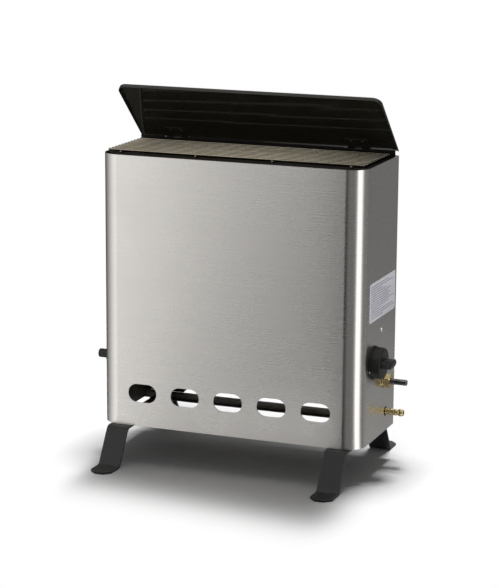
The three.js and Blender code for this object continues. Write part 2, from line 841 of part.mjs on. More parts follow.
// The middle knuckle and the leaf that is riveted under the lid.
function lidLeaf() {
  const half = knuckleLength / 2;
  const knuckle = rodX(knuckleRadius, -half, half, 0, 0, roundSegments);
  const tongue = block([-half, -lidLeafReach, leafBase], [half, 0, leafTop]);
  const leaf = block([-lidRivetSpacing, -lidLeafReach, leafBase],
    [lidRivetSpacing, -knuckleRadius - 1, leafTop]);
  const rivetHoles = [-1, 1].map((side) => rodZ(lidRivetRadius + hingeRunningGap,
    leafBase - 1, leafTop + 1, side * lidRivetSpacing / 2, lidRivetY, smallSegments));
  return cut(join(knuckle, tongue, leaf), knuckleCutter(), ...rivetHoles);
}

// Two outer knuckles on a foot that stands on the top frame; the origin is the hinge axis.
function hingeBracket() {
  const inner = knuckleLength / 2 + knuckleSideGap;
  const outer = inner + knuckleLength;
  const footZ = frameTopZ + seatGap - hingeAxisZ;
  const footFrontY = upstandY + frameSkirtThickness + seatGap - hingeAxisY;
  const foot = block([-outer, footFrontY, footZ], [outer, knuckleRadius, footZ + hingePlateThickness]);
  const knuckles = [-1, 1].flatMap((side) => [
    rodX(knuckleRadius, side * inner, side * outer, 0, 0, roundSegments),
    block([side * inner, -knuckleRadius / 2, footZ], [side * outer, knuckleRadius / 2, 0]),
  ]);
  return cut(join(foot, ...knuckles), knuckleCutter());
}

function hingePin() {
  const half = knuckleLength * 1.5 + knuckleSideGap + seatGap;
  return join(
    rodX(hingePinRadius, -half, half, 0, 0, smallSegments),
    rodX(hingePinHeadRadius, half, half + hingePinHeadLength, 0, 0, smallSegments),
  );
}

function lidRivet() {
  const top = lidTopAboveAxis + lidRivetGap;
  const bottom = leafBase - lidRivetGap;
  return join(
    rodZ(lidRivetHeadRadius, top, top + lidRivetHeadHeight, 0, 0, roundSegments),
    rodZ(lidRivetRadius, bottom - lidRivetTailHeight / 2, top + lidRivetHeadHeight / 2, 0, 0, smallSegments),
    rodZ(lidRivetTailRadius, bottom - lidRivetTailHeight, bottom, 0, 0, roundSegments),
  );
}

// ---------------------------------------------------------------- control valve, x = 0 on the wall

function controlValve() {
  const x0 = bodyFaceU - controlBodyLength;
  const solid = join(
    block([x0, -controlBodyDepth / 2, -controlBodyHeight / 2],
      [bodyFaceU, controlBodyDepth / 2, controlBodyHeight / 2]),
    rodX(shoulderRadius, bodyFaceU - 1, innerFaceU),
    rodX(controlBushRadius, innerFaceU - 1, controlBushReach),
    rodZ(portRadius, -controlBodyHeight / 2 - portLength, 0, controlPortU, 0),
    rodY(portRadius, 0, controlBodyDepth / 2 + portLength, controlOutletU, 0),
  );
  return cut(solid, rodX(spindleRadius + seatGap, spindleSocketU, controlBushReach + 1));
}

const controlNut = () => cut(hexX(controlNutFlats, seatGap, seatGap + controlNutThickness),
  rodX(controlBushRadius + seatGap, 0, controlNutThickness + 1));

function controlSpindle() {
  const flat = block([controlBushReach + 1, -spindleRadius, spindleFlatHeight],
    [spindleReach + 1, spindleRadius, spindleRadius + 1]);
  return cut(rodX(spindleRadius, spindleSocketU + seatGap, spindleReach), flat);
}

// A hollow knob: rounded face, grip bar across it, hub with the spindle's bore.
function controlKnob() {
  const edgeMid = knobEdgeRadius * (1 - Math.SQRT1_2);
  const body = latheX([
    [knobBackReach, 0],
    [knobBackReach, knobRadius],
    [knobFaceReach - knobEdgeRadius, knobFaceRadius],
    [knobFaceReach - edgeMid, knobFaceRadius - edgeMid],
    [knobFaceReach, knobFaceRadius - knobEdgeRadius],
    [knobFaceReach, 0],
  ], fineSegments);
  const hollow = latheX([
    [knobBackReach - 1, 0],
    [knobBackReach - 1, knobRadius - knobWall],
    [knobFaceReach - knobWall * 2, knobFaceRadius - knobWall],
    [knobFaceReach - knobWall, knobFaceRadius - knobWall * 2],
    [knobFaceReach - knobWall, 0],
  ], fineSegments);
  const hub = rodX(knobHubRadius, controlBushReach + seatGap, knobFaceReach - 1);
  const bore = rodX(spindleRadius + seatGap / 2, 0, spindleReach + seatGap);
  return cut(join(cut(body, hollow), hub, knobGrip()), bore);
}

// The grip bar across the face: flanks with a slight draft, and round ends.
function knobGrip() {
  const half = knobGripThickness / 2;
  const soft = knobGripEdge;
  const foot = half + knobGripDraft;
  const section = roundedShape([
    [knobFaceReach - 1, -foot, 0],
    [knobGripReach, -half, soft],
    [knobGripReach, half, soft],
    [knobFaceReach - 1, foot, 0],
  ]);
  const bar = extrudeY(section, -knobGripHalfLength, knobGripHalfLength);
  const round = knobGripHalfLength - half;
  const ends = [-round, round].map((y) => rodX(foot, knobFaceReach - 1, knobGripReach, y, 0));
  const middle = block([knobFaceReach - 1, -round, -foot], [knobGripReach, round, foot]);
  return overlap(bar, join(middle, ...ends));
}

const knobBezel = () => cut(rodX(bezelRadius, seatGap, seatGap + bezelThickness, 0, 0, fineSegments),
  rodX(bezelBoreRadius, 0, bezelThickness + 1));

// ---------------------------------------------------------------- flame-failure valve, x = 0 on the wall

const safetyPortU = bodyFaceU - safetyBodyLength / 2;
const rodInnerU = pushRodReach - pushRodLength;
const safetyFloorU = rodInnerU - seatGap - pushRodTravel - safetySpringSolidLength;

function safetyValve() {
  const x0 = bodyFaceU - safetyBodyLength;
  const solid = join(
    block([x0, -safetyBodyDepth / 2, -safetyBodyHeight / 2],
      [bodyFaceU, safetyBodyDepth / 2, safetyBodyHeight / 2]),
    rodX(shoulderRadius, bodyFaceU - 1, innerFaceU),
    rodX(safetyBushRadius, innerFaceU - 1, safetyBushReach),
    rodX(leadPortRadius, x0 - leadPortLength, x0 + 1),
    rodZ(portRadius, -safetyBodyHeight / 2 - portLength, 0, safetyPortU, 0),
    rodY(portRadius, -safetyBodyDepth / 2 - portLength, 0, safetyPortU, 0),
  );
  return cut(solid, rodX(pushRodRadius + pushRodGap, safetyFloorU, safetyBushReach + 1));
}

const safetyWasher = () => cut(
  rodX(safetyWasherRadius, seatGap, seatGap + safetyWasherThickness),
  rodX(safetyBushRadius + seatGap, 0, safetyWasherThickness + 1));

function safetyNut() {
  const x0 = seatGap * 2 + safetyWasherThickness;
  const x1 = x0 + safetyNutThickness;
  const bevel = safetyNutBevel;
  const cornerReach = safetyNutFlats / 2 / Math.cos(Math.PI / 6);
  const clear = cornerReach + 1;
  const cone = latheX([
    [x0, 0],
    [x0, cornerReach - bevel],
    [x0 + 2 * bevel, clear],
    [x1 - 2 * bevel, clear],
    [x1, cornerReach - bevel],
    [x1, 0],
  ]);
  return cut(overlap(hexX(safetyNutFlats, x0, x1), cone), rodX(safetyBushRadius + seatGap, 0, x1 + 1));
}

function pushRod() {
  const bevel = pushRodBevel;
  return latheX([
    [rodInnerU, 0],
    [rodInnerU, pushRodRadius],
    [pushRodReach - bevel, pushRodRadius],
    [pushRodReach, pushRodRadius - bevel],
    [pushRodReach, 0],
  ]);
}

const pushRodSpring = () => coilX(pushSpringRadius, safetyFloorU + seatGap, rodInnerU - seatGap);

// ---------------------------------------------------------------- inlet, x = 0 on the wall

const nozzleInnerU = -nozzleInnerLength - nozzleHexLength;

// Brass nozzle: hex shoulder, neck, saw-tooth ribs and the bulb at its end, bored through.
function hoseNozzle() {
  const firstRib = nozzleReach - nozzleBulbLength - 1 - nozzleRibCount * nozzleRibPitch;
  const profile = [
    [nozzleInnerU, nozzleBoreRadius],
    [nozzleInnerU, nozzleStemRadius],
    [firstRib, nozzleStemRadius],
  ];
  for (let i = 0; i < nozzleRibCount; i += 1) {
    const x = firstRib + i * nozzleRibPitch;
    profile.push([x + nozzleRibStep, nozzleRibRadius]);
    profile.push([x + nozzleRibCrest, nozzleRibRadius]);
    profile.push([x + nozzleRibPitch - nozzleRibFoot, nozzleNeckRadius]);
  }
  profile.push([nozzleReach - nozzleBulbLength, nozzleBulbRadius]);
  profile.push([nozzleReach - nozzleBulbTaper, nozzleBulbRadius]);
  profile.push([nozzleReach, nozzleNeckRadius]);
  profile.push([nozzleReach, nozzleBoreRadius]);
  profile.push([nozzleInnerU, nozzleBoreRadius]);
  const hex = cut(hexX(nozzleHexFlats, nozzleInnerU, nozzleInnerU + nozzleHexLength),
    rodX(nozzleBoreRadius + 1, nozzleInnerU - 1, nozzleInnerU + nozzleHexLength + 1));
  return join(latheX(profile), hex);
}

const elbowFaceU = nozzleInnerU - seatGap;

function inletElbow() {
  const half = elbowSize / 2;
  return join(
    block([elbowFaceU - elbowSize, -half, -half], [elbowFaceU, half, half]),
    rodZ(portRadius, 0, half + elbowPortLength, elbowFaceU - half, 0),
  );
}

// ---------------------------------------------------------------- pipes, in the cabinet's frame

const elbowTop = [halfWidth + elbowFaceU - elbowSize / 2, inletY, inletZ + elbowSize / 2 + elbowPortLength];
const safetyFoot = [halfWidth + safetyPortU, safetyY, safetyZ - safetyBodyHeight / 2 - portLength];
const safetyFront = [halfWidth + safetyPortU, safetyY - safetyBodyDepth / 2 - portLength, safetyZ];
const controlFoot = [halfWidth + controlPortU, controlY, controlZ - controlBodyHeight / 2 - portLength];
const controlRear = [halfWidth + controlOutletU, controlY + controlBodyDepth / 2 + portLength, controlZ];
const injectorEnd = [burnerInletX + seatGap + injectorHexLength, burnerY, burnerZ];

const offset = ([x, y, z], dx, dy, dz) => [x + dx, y + dy, z + dz];

function inletPipe() {
  const reach = pipeBendReach;
  return bentRod([
    offset(elbowTop, 0, 0, seatGap),
    offset(elbowTop, 0, 0, 0.375 * reach),
    offset(safetyFoot, 0, 0, -0.375 * reach),
    offset(safetyFoot, 0, 0, -seatGap),
  ], pipeRadius, 14, 10);
}

function linkPipe() {
  const reach = pipeBendReach;
  return bentRod([
    offset(safetyFront, 0, -seatGap, 0),
    offset(safetyFront, 0, -0.75 * reach, 0),
    offset(controlFoot, 0.25 * reach, reach, -1.75 * reach),
    offset(controlFoot, 0, 0, -0.75 * reach),
    offset(controlFoot, 0, 0, -seatGap),
  ], pipeRadius, 20, 10);
}

function burnerPipe() {
  const reach = pipeBendReach;
  return bentRod([
    offset(controlRear, 0, seatGap, 0),
    offset(controlRear, 0, 0.375 * reach, 0),
    offset(controlRear, 0, 0.875 * reach, -0.5 * reach),
    offset(controlRear, -0.125 * reach, 0.875 * reach, -1.5 * reach),
    offset(injectorEnd, 0.875 * reach, 0.125 * reach, 0.25 * reach),
    offset(injectorEnd, 0.375 * reach, 0, 0),
    offset(injectorEnd, seatGap, 0, 0),
  ], burnerPipeRadius, 24, 10);
}

// ---------------------------------------------------------------- burner

function burnerTube() {
  const wall = burnerWall;
  const tube = latheX([
    [burnerLeftX, 0],
    [burnerLeftX, burnerRadius],
    [burnerShoulderX, burnerRadius],
    [burnerThroatX, throatRadius],
    [burnerInletX, throatRadius],
    [burnerInletX, throatRadius - wall],
    [burnerThroatX, throatRadius - wall],
    [burnerShoulderX, burnerRadius - wall],
    [burnerLeftX + wall, burnerRadius - wall],
    [burnerLeftX + wall, 0],
  ]);
  return cut(tube, ...burnerPorts(), ...airWindows());
}

function burnerPorts() {
  const firstX = burnerLeftX + burnerPortInset;
  const pitch = (burnerShoulderX - burnerPortInset - firstX) / (burnerPortCount - 1);
  const ports = [];
  for (let i = 0; i < burnerPortCount; i += 1) {
    const x = firstX + i * pitch;
    ports.push(block([x, -burnerPortLength / 2, 0],
      [x + burnerPortWidth, burnerPortLength / 2, burnerRadius + 1]));
  }
  return ports;
}

function airWindows() {
  const half = airWindowWidth / 2;
  const reach = throatRadius + 1;
  return [
    block([airWindowX, -half, -reach], [airWindowX + airWindowLength, half, reach]),
    block([airWindowX, -reach, -half], [airWindowX + airWindowLength, reach, half]),
  ];
}

function injector() {
  const x0 = burnerInletX - injectorInsertLength;
  const x1 = burnerInletX + seatGap;
  return join(
    rodX(throatRadius - burnerWall - seatGap, x0, x1 + 1, 0, 0, roundSegments),
    hexX(injectorHexFlats, x1, x1 + injectorHexLength),
    latheX([
      [x0 - injectorTipLength, 0],
      [x0 - injectorTipLength, injectorTipRadius],
      [x0 + 1, injectorConeRadius],
      [x0 + 1, 0],
    ], smallSegments),
  );
}

// A cross plate from the front liner to the rear panel, with a flange at each end.
function burnerBracket(extraHoles) {
  const frontY = chimneyFrontY + seatGap;
  const rearY = rearPanelFrontY - seatGap;
  const z0 = burnerZ - bracketHeight / 2;
  const z1 = burnerZ + bracketHeight / 2;
  const plate = block([0, frontY, z0], [bracketThickness, rearY, z1]);
  const frontFlange = block([0, frontY, z0], [bracketFlange, frontY + bracketThickness, z1]);
  const rearFlange = block([0, rearY - bracketThickness, z0], [bracketFlange, rearY, z1]);
  const burnerHole = rodX(burnerRadius + seatGap, -1, bracketThickness + 1, burnerY, burnerZ);
  return cut(join(plate, frontFlange, rearFlange), burnerHole, ...extraHoles);
}

function sparkElectrode() {
  const back = -electrodeBackLength;
  const front = electrodeFrontLength;
  const insulator = latheX([
    [back, 0],
    [back, electrodeEndRadius],
    [back + electrodeEndTaper, electrodeRadius],
    [front - electrodeEndTaper, electrodeRadius],
    [front, electrodeEndRadius],
    [front, 0],
  ], smallSegments);
  return join(insulator, rodX(electrodeTipRadius, front - 1, front + electrodeTipLength, 0, 0, wireSides));
}

const thermocoupleProbe = () => latheX([
  [-probeBackLength, 0],
  [-probeBackLength, probeTipRadius],
  [-probeBackLength + probeTipLength, probeRadius],
  [probeFrontLength, probeRadius],
  [probeFrontLength, 0],
], smallSegments);

function thermocoupleLead() {
  const probeEnd = [bracketRightX + probeFrontLength, probeY, probeZ];
  const valveEnd = [halfWidth + bodyFaceU - safetyBodyLength - leadPortLength, safetyY, safetyZ];
  const reach = leadBendReach;
  return bentRod([
    offset(probeEnd, seatGap, 0, 0),
    offset(probeEnd, 0.4 * reach, 0, 0),
    offset(probeEnd, 1.1 * reach, 0, -0.2 * reach),
    offset(probeEnd, 2 * reach, -0.2 * reach, -1.6 * reach),
    offset(probeEnd, 2.6 * reach, 1.8 * reach, -3.4 * reach),
    offset(valveEnd, -reach, -0.3 * reach, -0.2 * reach),
    offset(valveEnd, -0.4 * reach, 0, 0),
    offset(valveEnd, -seatGap, 0, 0),
  ], leadRadius, 36, 6);
}

// ---------------------------------------------------------------- piezo igniter, x = 0 on the wall

const buttonInnerU = buttonReach - buttonLength;
const piezoFloorU = buttonInnerU - seatGap - buttonTravel - piezoSpringSolidLength;
const piezoEndU = innerFaceU - piezoBodyLength;

function piezoIgniter() {
  const body = join(
    rodX(piezoBodyRadius, piezoEndU, innerFaceU),
    rodX(piezoBushRadius, innerFaceU - 1, piezoBushReach),
  );
  return cut(body, rodX(buttonRadius + buttonGap, piezoFloorU, piezoBushReach + 1));
}

const piezoNut = () => cut(rodX(piezoNutRadius, seatGap, seatGap + piezoNutThickness, 0, 0, smallSegments),
  rodX(piezoBushRadius + seatGap, 0, piezoNutThickness + 1));

function piezoButton() {
  const bevel = buttonBevel;
  return latheX([
    [buttonInnerU, 0],
    [buttonInnerU, buttonRadius],
    [buttonReach - bevel, buttonRadius],
    [buttonReach, buttonRadius - bevel],
    [buttonReach, 0],
  ]);
}

const piezoSpring = () => coilX(piezoSpringRadius, piezoFloorU + seatGap, buttonInnerU - seatGap);

function ignitionLead() {
  const electrodeEnd = [bracketLeftX - electrodeBackLength, electrodeY, electrodeZ];
  const piezoEnd = [-halfWidth - piezoEndU, piezoY, piezoZ];
  const reach = leadBendReach;
  return bentRod([
    offset(electrodeEnd, -seatGap, 0, 0),
    offset(electrodeEnd, -0.4 * reach, 0, 0),
    offset(electrodeEnd, -0.9 * reach, -0.1 * reach, 0),
    offset(electrodeEnd, -1.4 * reach, -reach, 0),
    offset(electrodeEnd, -1.2 * reach, -3.2 * reach, 0),
    offset(piezoEnd, 0.8 * reach, 1.4 * reach, 0.4 * reach),
    offset(piezoEnd, 1.4 * reach, 0.4 * reach, 0.1 * reach),
    offset(piezoEnd, 0.9 * reach, 0, 0),
    offset(piezoEnd, seatGap, 0, 0),
  ], ignitionLeadRadius, 44, 6);
}

// A pan head and shank along Y, y = 0 on the rear flange's outer face.
const rearScrew = () => join(
  rodY(screwHeadRadius, seatGap, seatGap + screwHeadHeight),
  rodY(screwRadius, -screwLength, seatGap + 1, 0, 0, smallSegments),
);

// ---------------------------------------------------------------- assembly

// The origin is under the middle of the whole outline, which the rod and the button widen unevenly.
heater.position.x = (buttonReach - pushRodReach) / 2;

function addCabinet() {
  const cabinet = group(0, 0, 0);
  add(cabinet, 'outer_wrap', outerWrap(), stainless);
  add(cabinet, 'rear_panel', rearPanel(), blackSheet);
  for (const [name, side] of sides) add(cabinet, `side_liner_${name}`, sideLiner(side), blackSheet);
  add(cabinet, 'front_liner', frontLiner(), blackSheet);
  add(cabinet, 'rear_base_rail', rearBaseRail(), blackSheet);
  add(cabinet, 'front_base_rail', baseRail(halfWidth - cornerRadius, -rearPanelRearY, 1), blackSheet);
  add(cabinet, 'top_frame', topFrame(), blackSheet);
  add(cabinet, 'grille', grille(), nickelWire);
  for (const [name, x, z] of screwPlaces()) {
    add(cabinet, `rear_screw_${name}`, rearScrew(), zincSteel, [x, halfDepth, z]);
  }
  const label = block([0, -labelLength / 2, -labelHeight / 2],
    [labelThickness, labelLength / 2, labelHeight / 2]);
  add(cabinet, 'label_plate', label, labelFoil, [halfWidth, labelCentreY, labelCentreZ]);
}

function addLegs() {
  for (const [name, side] of sides) {
    const leg = group(side * strapCentreX, 0, 0);
    add(leg, `leg_strap_${name}`, legStrap(), legPaint);
    for (const [endName, end] of ends) {
      add(leg, `leg_rivet_${name}_${endName}`, legRivet(), zincSteel,
        [0, end * rivetSpacing / 2, cabinetBaseZ]);
    }
  }
}

function addLid() {
  const pivot = group(0, hingeAxisY, hingeAxisZ);
  for (const [name, side] of sides) {
    const place = [side * hingeCentreX, 0, 0];
    add(pivot, `hinge_bracket_${name}`, hingeBracket(), blackSheet, place);
    add(pivot, `hinge_pin_${name}`, hingePin(), zincSteel, place);
  }
  const swung = group(0, 0, 0, pivot);
  swung.rotation.x = -lidOpenAngle;
  add(swung, 'lid', lid(), blackEnamel);
  for (const [name, side] of sides) {
    add(swung, `lid_leaf_${name}`, lidLeaf(), blackSheet, [side * hingeCentreX, 0, 0]);
  }
  for (const [name, x, y] of lidRivetPlaces()) add(swung, name, lidRivet(), blackSheet, [x, y, 0]);
}

function addControls() {
  const control = group(halfWidth, controlY, controlZ);
  add(control, 'control_valve', controlValve(), aluminium);
  add(control, 'control_valve_nut', controlNut(), zincSteel);
  add(control, 'control_spindle', controlSpindle(), zincSteel);
  add(control, 'control_knob', controlKnob(), blackPlastic);
  add(control, 'knob_bezel', knobBezel(), blackPlastic);

  const safety = group(halfWidth, safetyY, safetyZ);
  add(safety, 'flame_failure_valve', safetyValve(), brass);
  add(safety, 'valve_washer', safetyWasher(), brass);
  add(safety, 'valve_nut', safetyNut(), brass);
  add(safety, 'push_rod', pushRod(), glossyRod);
  add(safety, 'push_rod_spring', pushRodSpring(), zincSteel);

  const inlet = group(halfWidth, inletY, inletZ);
  add(inlet, 'hose_nozzle', hoseNozzle(), brass);
  add(inlet, 'inlet_elbow', inletElbow(), brass);
}

function addBurner() {
  const gasTrain = group(0, 0, 0);
  add(gasTrain, 'inlet_pipe', inletPipe(), copper);
  add(gasTrain, 'link_pipe', linkPipe(), copper);
  add(gasTrain, 'burner_pipe', burnerPipe(), copper);
  add(gasTrain, 'burner_tube', burnerTube(), stainless, [0, burnerY, burnerZ]);
  add(gasTrain, 'injector', injector(), brass, [0, burnerY, burnerZ]);
  const electrodeHole = rodX(electrodeRadius + seatGap, -1, bracketThickness + 1, electrodeY, electrodeZ);
  const probeHole = rodX(probeRadius + seatGap, -1, bracketThickness + 1, probeY, probeZ);
  add(gasTrain, 'burner_bracket_left', burnerBracket([electrodeHole]), zincSteel, [bracketLeftX, 0, 0]);
  add(gasTrain, 'burner_bracket_right', burnerBracket([probeHole]), zincSteel, [bracketRightX, 0, 0]);
  add(gasTrain, 'spark_electrode', sparkElectrode(), ceramic, [bracketLeftX, electrodeY, electrodeZ]);
  add(gasTrain, 'thermocouple_probe', thermocoupleProbe(), copper, [bracketRightX, probeY, probeZ]);
  add(gasTrain, 'thermocouple_lead', thermocoupleLead(), copper);
  add(gasTrain, 'ignition_lead', ignitionLead(), leadSleeve);
}

function addIgniter() {
  const piezo = group(-halfWidth, piezoY, piezoZ);
  piezo.rotation.z = Math.PI;
  add(piezo, 'piezo_igniter', piezoIgniter(), blackPlastic);
  add(piezo, 'piezo_nut', piezoNut(), blackPlastic);
  add(piezo, 'piezo_button', piezoButton(), blackPlastic);
  add(piezo, 'piezo_spring', piezoSpring(), zincSteel);
}

addCabinet();
addLegs();
addLid();
addControls();
addBurner();
addIgniter();

export default heater;
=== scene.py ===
"""Looks of a portable gas cabinet heater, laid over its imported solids.

Metres; +X to the control side, +Y to the rear, +Z up, and the floor is z = 0.
"""

import contextlib
import functools
import json
import math

import bmesh
import bpy
import numpy as np
from mathutils import Matrix, Vector


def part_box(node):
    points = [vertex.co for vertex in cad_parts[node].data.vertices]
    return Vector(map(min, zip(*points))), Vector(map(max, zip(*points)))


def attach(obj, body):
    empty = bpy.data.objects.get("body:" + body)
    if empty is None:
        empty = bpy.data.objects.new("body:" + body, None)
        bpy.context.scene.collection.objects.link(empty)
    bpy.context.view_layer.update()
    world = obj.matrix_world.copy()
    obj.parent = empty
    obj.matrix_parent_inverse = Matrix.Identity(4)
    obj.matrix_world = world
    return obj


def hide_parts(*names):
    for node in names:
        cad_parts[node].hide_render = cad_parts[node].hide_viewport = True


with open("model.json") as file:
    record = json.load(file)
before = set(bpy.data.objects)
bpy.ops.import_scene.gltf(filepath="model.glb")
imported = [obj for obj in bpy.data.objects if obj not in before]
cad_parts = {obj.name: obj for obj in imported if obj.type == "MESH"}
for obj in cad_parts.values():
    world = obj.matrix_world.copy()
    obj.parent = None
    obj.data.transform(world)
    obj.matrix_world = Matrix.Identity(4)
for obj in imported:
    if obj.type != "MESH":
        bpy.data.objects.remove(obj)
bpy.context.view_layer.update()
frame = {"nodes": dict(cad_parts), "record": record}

MM = 0.001
TURN = 2 * math.pi
QUARTER = math.pi / 2

# ---- places on the solids

SHIFT_X = -7.5 * MM
RIGHT_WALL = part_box("label_plate")[0].x
LEFT_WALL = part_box("outer_wrap")[0].x
UPSTAND_Y = 62 * MM
HINGE_Y = 68 * MM
HINGE_Z = 423.3 * MM
HINGE_MIDDLE = 130 * MM
LID_ANGLE = math.radians(44)
CONTROL = (-19.6 * MM, 157 * MM)
SAFETY = (26 * MM, 121.6 * MM)
INLET = (35.4 * MM, 77 * MM)
PIEZO = (-37 * MM, 137 * MM)


# ---- meshes from arrays


def linked(name, data):
    """An object of the scene that holds the data."""
    made = bpy.data.objects.new(name, data)
    bpy.context.scene.collection.objects.link(made)
    return made


def mesh_object(name, points, faces):
    """An object from points (n, 3) and faces."""
    mesh = bpy.data.meshes.new(name)
    mesh.from_pydata(np.asarray(points, float).tolist(), [], faces)
    mesh.update()
    return linked(name, mesh)


def grid_faces(rows, columns, around=True):
    """Quads of a grid stored row by row; around joins the last column to the first."""
    reach = columns if around else columns - 1
    row, column = np.meshgrid(np.arange(rows - 1), np.arange(reach), indexing="ij")
    after = (column + 1) % columns
    corners = (row * columns + column, row * columns + after,
               (row + 1) * columns + after, (row + 1) * columns + column)
    return np.stack(corners, -1).reshape(-1, 4).tolist()


def tube_faces(rows, columns):
    """Quads of a closed grid with a face over its first and its last row."""
    first = list(range(columns))
    last = [(rows - 1) * columns + k for k in first]
    return grid_faces(rows, columns) + [first, last[::-1]]


def merged(parts):
    """Several (points, faces) in one: the faces of each are counted on from the points before it."""
    points, faces, count = [], [], 0
    for some, quads in parts:
        points.append(np.asarray(some, float))
        faces += [[i + count for i in quad] for quad in quads]
        count += len(some)
    return np.concatenate(points), faces


def turned_form(profile, sides, axis="x", centre=(0, 0, 0)):
    """A profile of (along, radius) turned about an axis: x = along, y = r cos a, z = r sin a."""
    along, radius = np.asarray(profile, float).T
    angle = np.arange(sides) / sides * TURN
    a = np.repeat(along[:, None], sides, 1)
    y = radius[:, None] * np.cos(angle)
    z = radius[:, None] * np.sin(angle)
    order = {"x": (a, y, z), "y": (z, a, y), "z": (y, z, a)}[axis]
    points = np.stack(order, -1).reshape(-1, 3) + np.asarray(centre, float)
    return points, tube_faces(len(along), sides)


def soft_corner(corner, before, after, radius, steps=5):
    """Points of a rounded corner: a quadratic curve from radius before it to radius after it."""
    start = corner + (before - corner) / np.linalg.norm(before - corner) * radius
    end = corner + (after - corner) / np.linalg.norm(after - corner) * radius
    t = np.linspace(0, 1, steps)[:, None]
    return (1 - t) ** 2 * start + 2 * t * (1 - t) * corner + t ** 2 * end


def soft_profile(corners):
    """A line through (along, radius, softness) corners with each corner rounded by its softness."""
    places = [np.array(c[:2], float) for c in corners]
    line = []
    for i, (_, _, soft) in enumerate(corners):
        if soft and 0 < i < len(corners) - 1:
            line.append(soft_corner(places[i], places[i - 1], places[i + 1], soft))
        else:
            line.append(places[i][None])
    return np.concatenate(line)


@contextlib.contextmanager
def opened(piece):
    """The piece's mesh opened for work, and written back after it."""
    work = bmesh.new()
    work.from_mesh(piece.data)
    yield work
    work.to_mesh(piece.data)
    work.free()


def clean(piece, distance=1e-7):
    """Doubles merged, slivers dropped and all faces turned outwards."""
    with opened(piece) as work:
        bmesh.ops.remove_doubles(work, verts=work.verts, dist=distance)
        bmesh.ops.dissolve_degenerate(work, edges=work.edges, dist=distance)
        bmesh.ops.recalc_face_normals(work, faces=work.faces)
    return piece


def smooth(piece, angle):
    """Smooth faces, with the edges sharper than the angle kept sharp."""
    limit = math.radians(angle)
    with opened(piece) as work:
        for face in work.faces:
            face.smooth = True
        for edge in work.edges:
            edge.smooth = edge.is_manifold and edge.calc_face_angle(0) < limit
    return piece


def body_of_node(node):
    """The body that a node is listed under."""
    groups = frame["record"]["behaviour"]["bodies"]
    return next(body for body, members in groups.items() if node in members)


def ease_edges(work, edge, sharp_angle=35, flat_angle=0.6, doubles=2e-6):
    """Merges doubles, joins flat faces, and eases the sharp edges by the given width."""
    bmesh.ops.remove_doubles(work, verts=work.verts, dist=doubles)
    bmesh.ops.recalc_face_normals(work, faces=work.faces)
    bmesh.ops.dissolve_limit(work, angle_limit=math.radians(flat_angle), verts=work.verts,
                             edges=work.edges)
    limit = math.radians(sharp_angle)
    sharp = [e for e in work.edges if e.is_manifold and e.calc_face_angle(0) > limit]
    if edge and sharp:
        bmesh.ops.bevel(work, geom=sharp, offset=edge, offset_type="OFFSET", segments=2,
                        profile=0.6, affect="EDGES", clamp_overlap=True)


def eased_copy(node, edge):
    """A copy of a node with flat faces joined and its sharp edges eased."""
    piece = linked(node + "_eased", frame["nodes"][node].data.copy())
    with opened(piece) as work:
        ease_edges(work, edge)
    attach(piece, body_of_node(node))
    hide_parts(node)
    smooth(piece, 50)
    even = piece.modifiers.new("even_shading", "WEIGHTED_NORMAL")
    even.keep_sharp = True
    return piece


# ---- shader bench


class Bench:
    """Places nodes in one tree and joins them."""

    def __init__(self, tree):
        self.tree = tree

    def add(self, kind, values=None, **settings):
        """A node with its settings, and numbers or sockets put into its inputs."""
        made = self.tree.nodes.new("ShaderNode" + kind)
        for key, value in settings.items():
            setattr(made, key, value)
        for key, value in (values or {}).items():
            self.feed(made.inputs[key], value)
        return made

    def feed(self, socket, value):
        """Links a socket, or sets a plain value."""
        if isinstance(value, bpy.types.NodeSocket):
            self.tree.links.new(value, socket)
        else:
            socket.default_value = value

    def calc(self, kind, a, b=0.0, c=0.0):
        """A Math node's value."""
        return self.add("Math", {0: a, 1: b, 2: c}, operation=kind).outputs[0]

    def times(self, first, *others):
        """The product of two or more values."""
        for other in others:
            first = self.calc("MULTIPLY", first, other)
        return first

    def span(self, value, low, high):
        """A value carried from low..high to 0..1, held at its ends."""
        return self.add("MapRange", {"Value": value, "From Min": low, "From Max": high}).outputs[0]

    def blend(self, share, a, b):
        """Two colours mixed by a share."""
        made = self.add("Mix", data_type="RGBA")
        for index, value in ((0, share), (6, a), (7, b)):
            self.feed(made.inputs[index], value)
        return made.outputs[2]

    def noise(self, vector, scale, detail=2.0, roughness=0.5):
        """Cloudy noise around one half."""
        return self.add("TexNoise", {"Vector": vector, "Scale": scale, "Detail": detail,
                                     "Roughness": roughness}).outputs["Fac"]

    def place(self, stretch=(1, 1, 1)):
        """Object coordinates, stretched."""
        own = self.add("TexCoord").outputs["Object"]
        return self.add("Mapping", {"Vector": own, "Scale": stretch}).outputs[0]


def effect(name, inputs, outputs):
    """A shader node group with named inputs and outputs: its bench, its inputs and its end."""
    tree = bpy.data.node_groups.new(name, "ShaderNodeTree")
    for label, kind, value in inputs:
        socket = tree.interface.new_socket(label, in_out="INPUT", socket_type="NodeSocket" + kind)
        if value is not None:
            socket.default_value = value
    for label in outputs:
        tree.interface.new_socket(label, in_out="OUTPUT", socket_type="NodeSocketFloat")
    bench = Bench(tree)
    return bench, tree.nodes.new("NodeGroupInput").outputs, tree.nodes.new("NodeGroupOutput").inputs


def grain_effect():
    """Lines left by brushing or turning: two layers of noise on a stretched vector."""
    bench, given, out = effect("grain_lines", [("Vector", "Vector", None), ("Fineness", "Float", 1.0)],
                               ["Lines", "Height"])
    coarse = bench.noise(given["Vector"], bench.times(given["Fineness"], 0.35), 3.0)
    fine = bench.noise(given["Vector"], given["Fineness"], 2.0, 0.7)
    both = bench.calc("MULTIPLY_ADD", fine, 0.6, bench.times(coarse, 0.4))
    bench.feed(out["Lines"], bench.span(both, 0.3, 0.7))
    bench.feed(out["Height"], both)
    return bench.tree


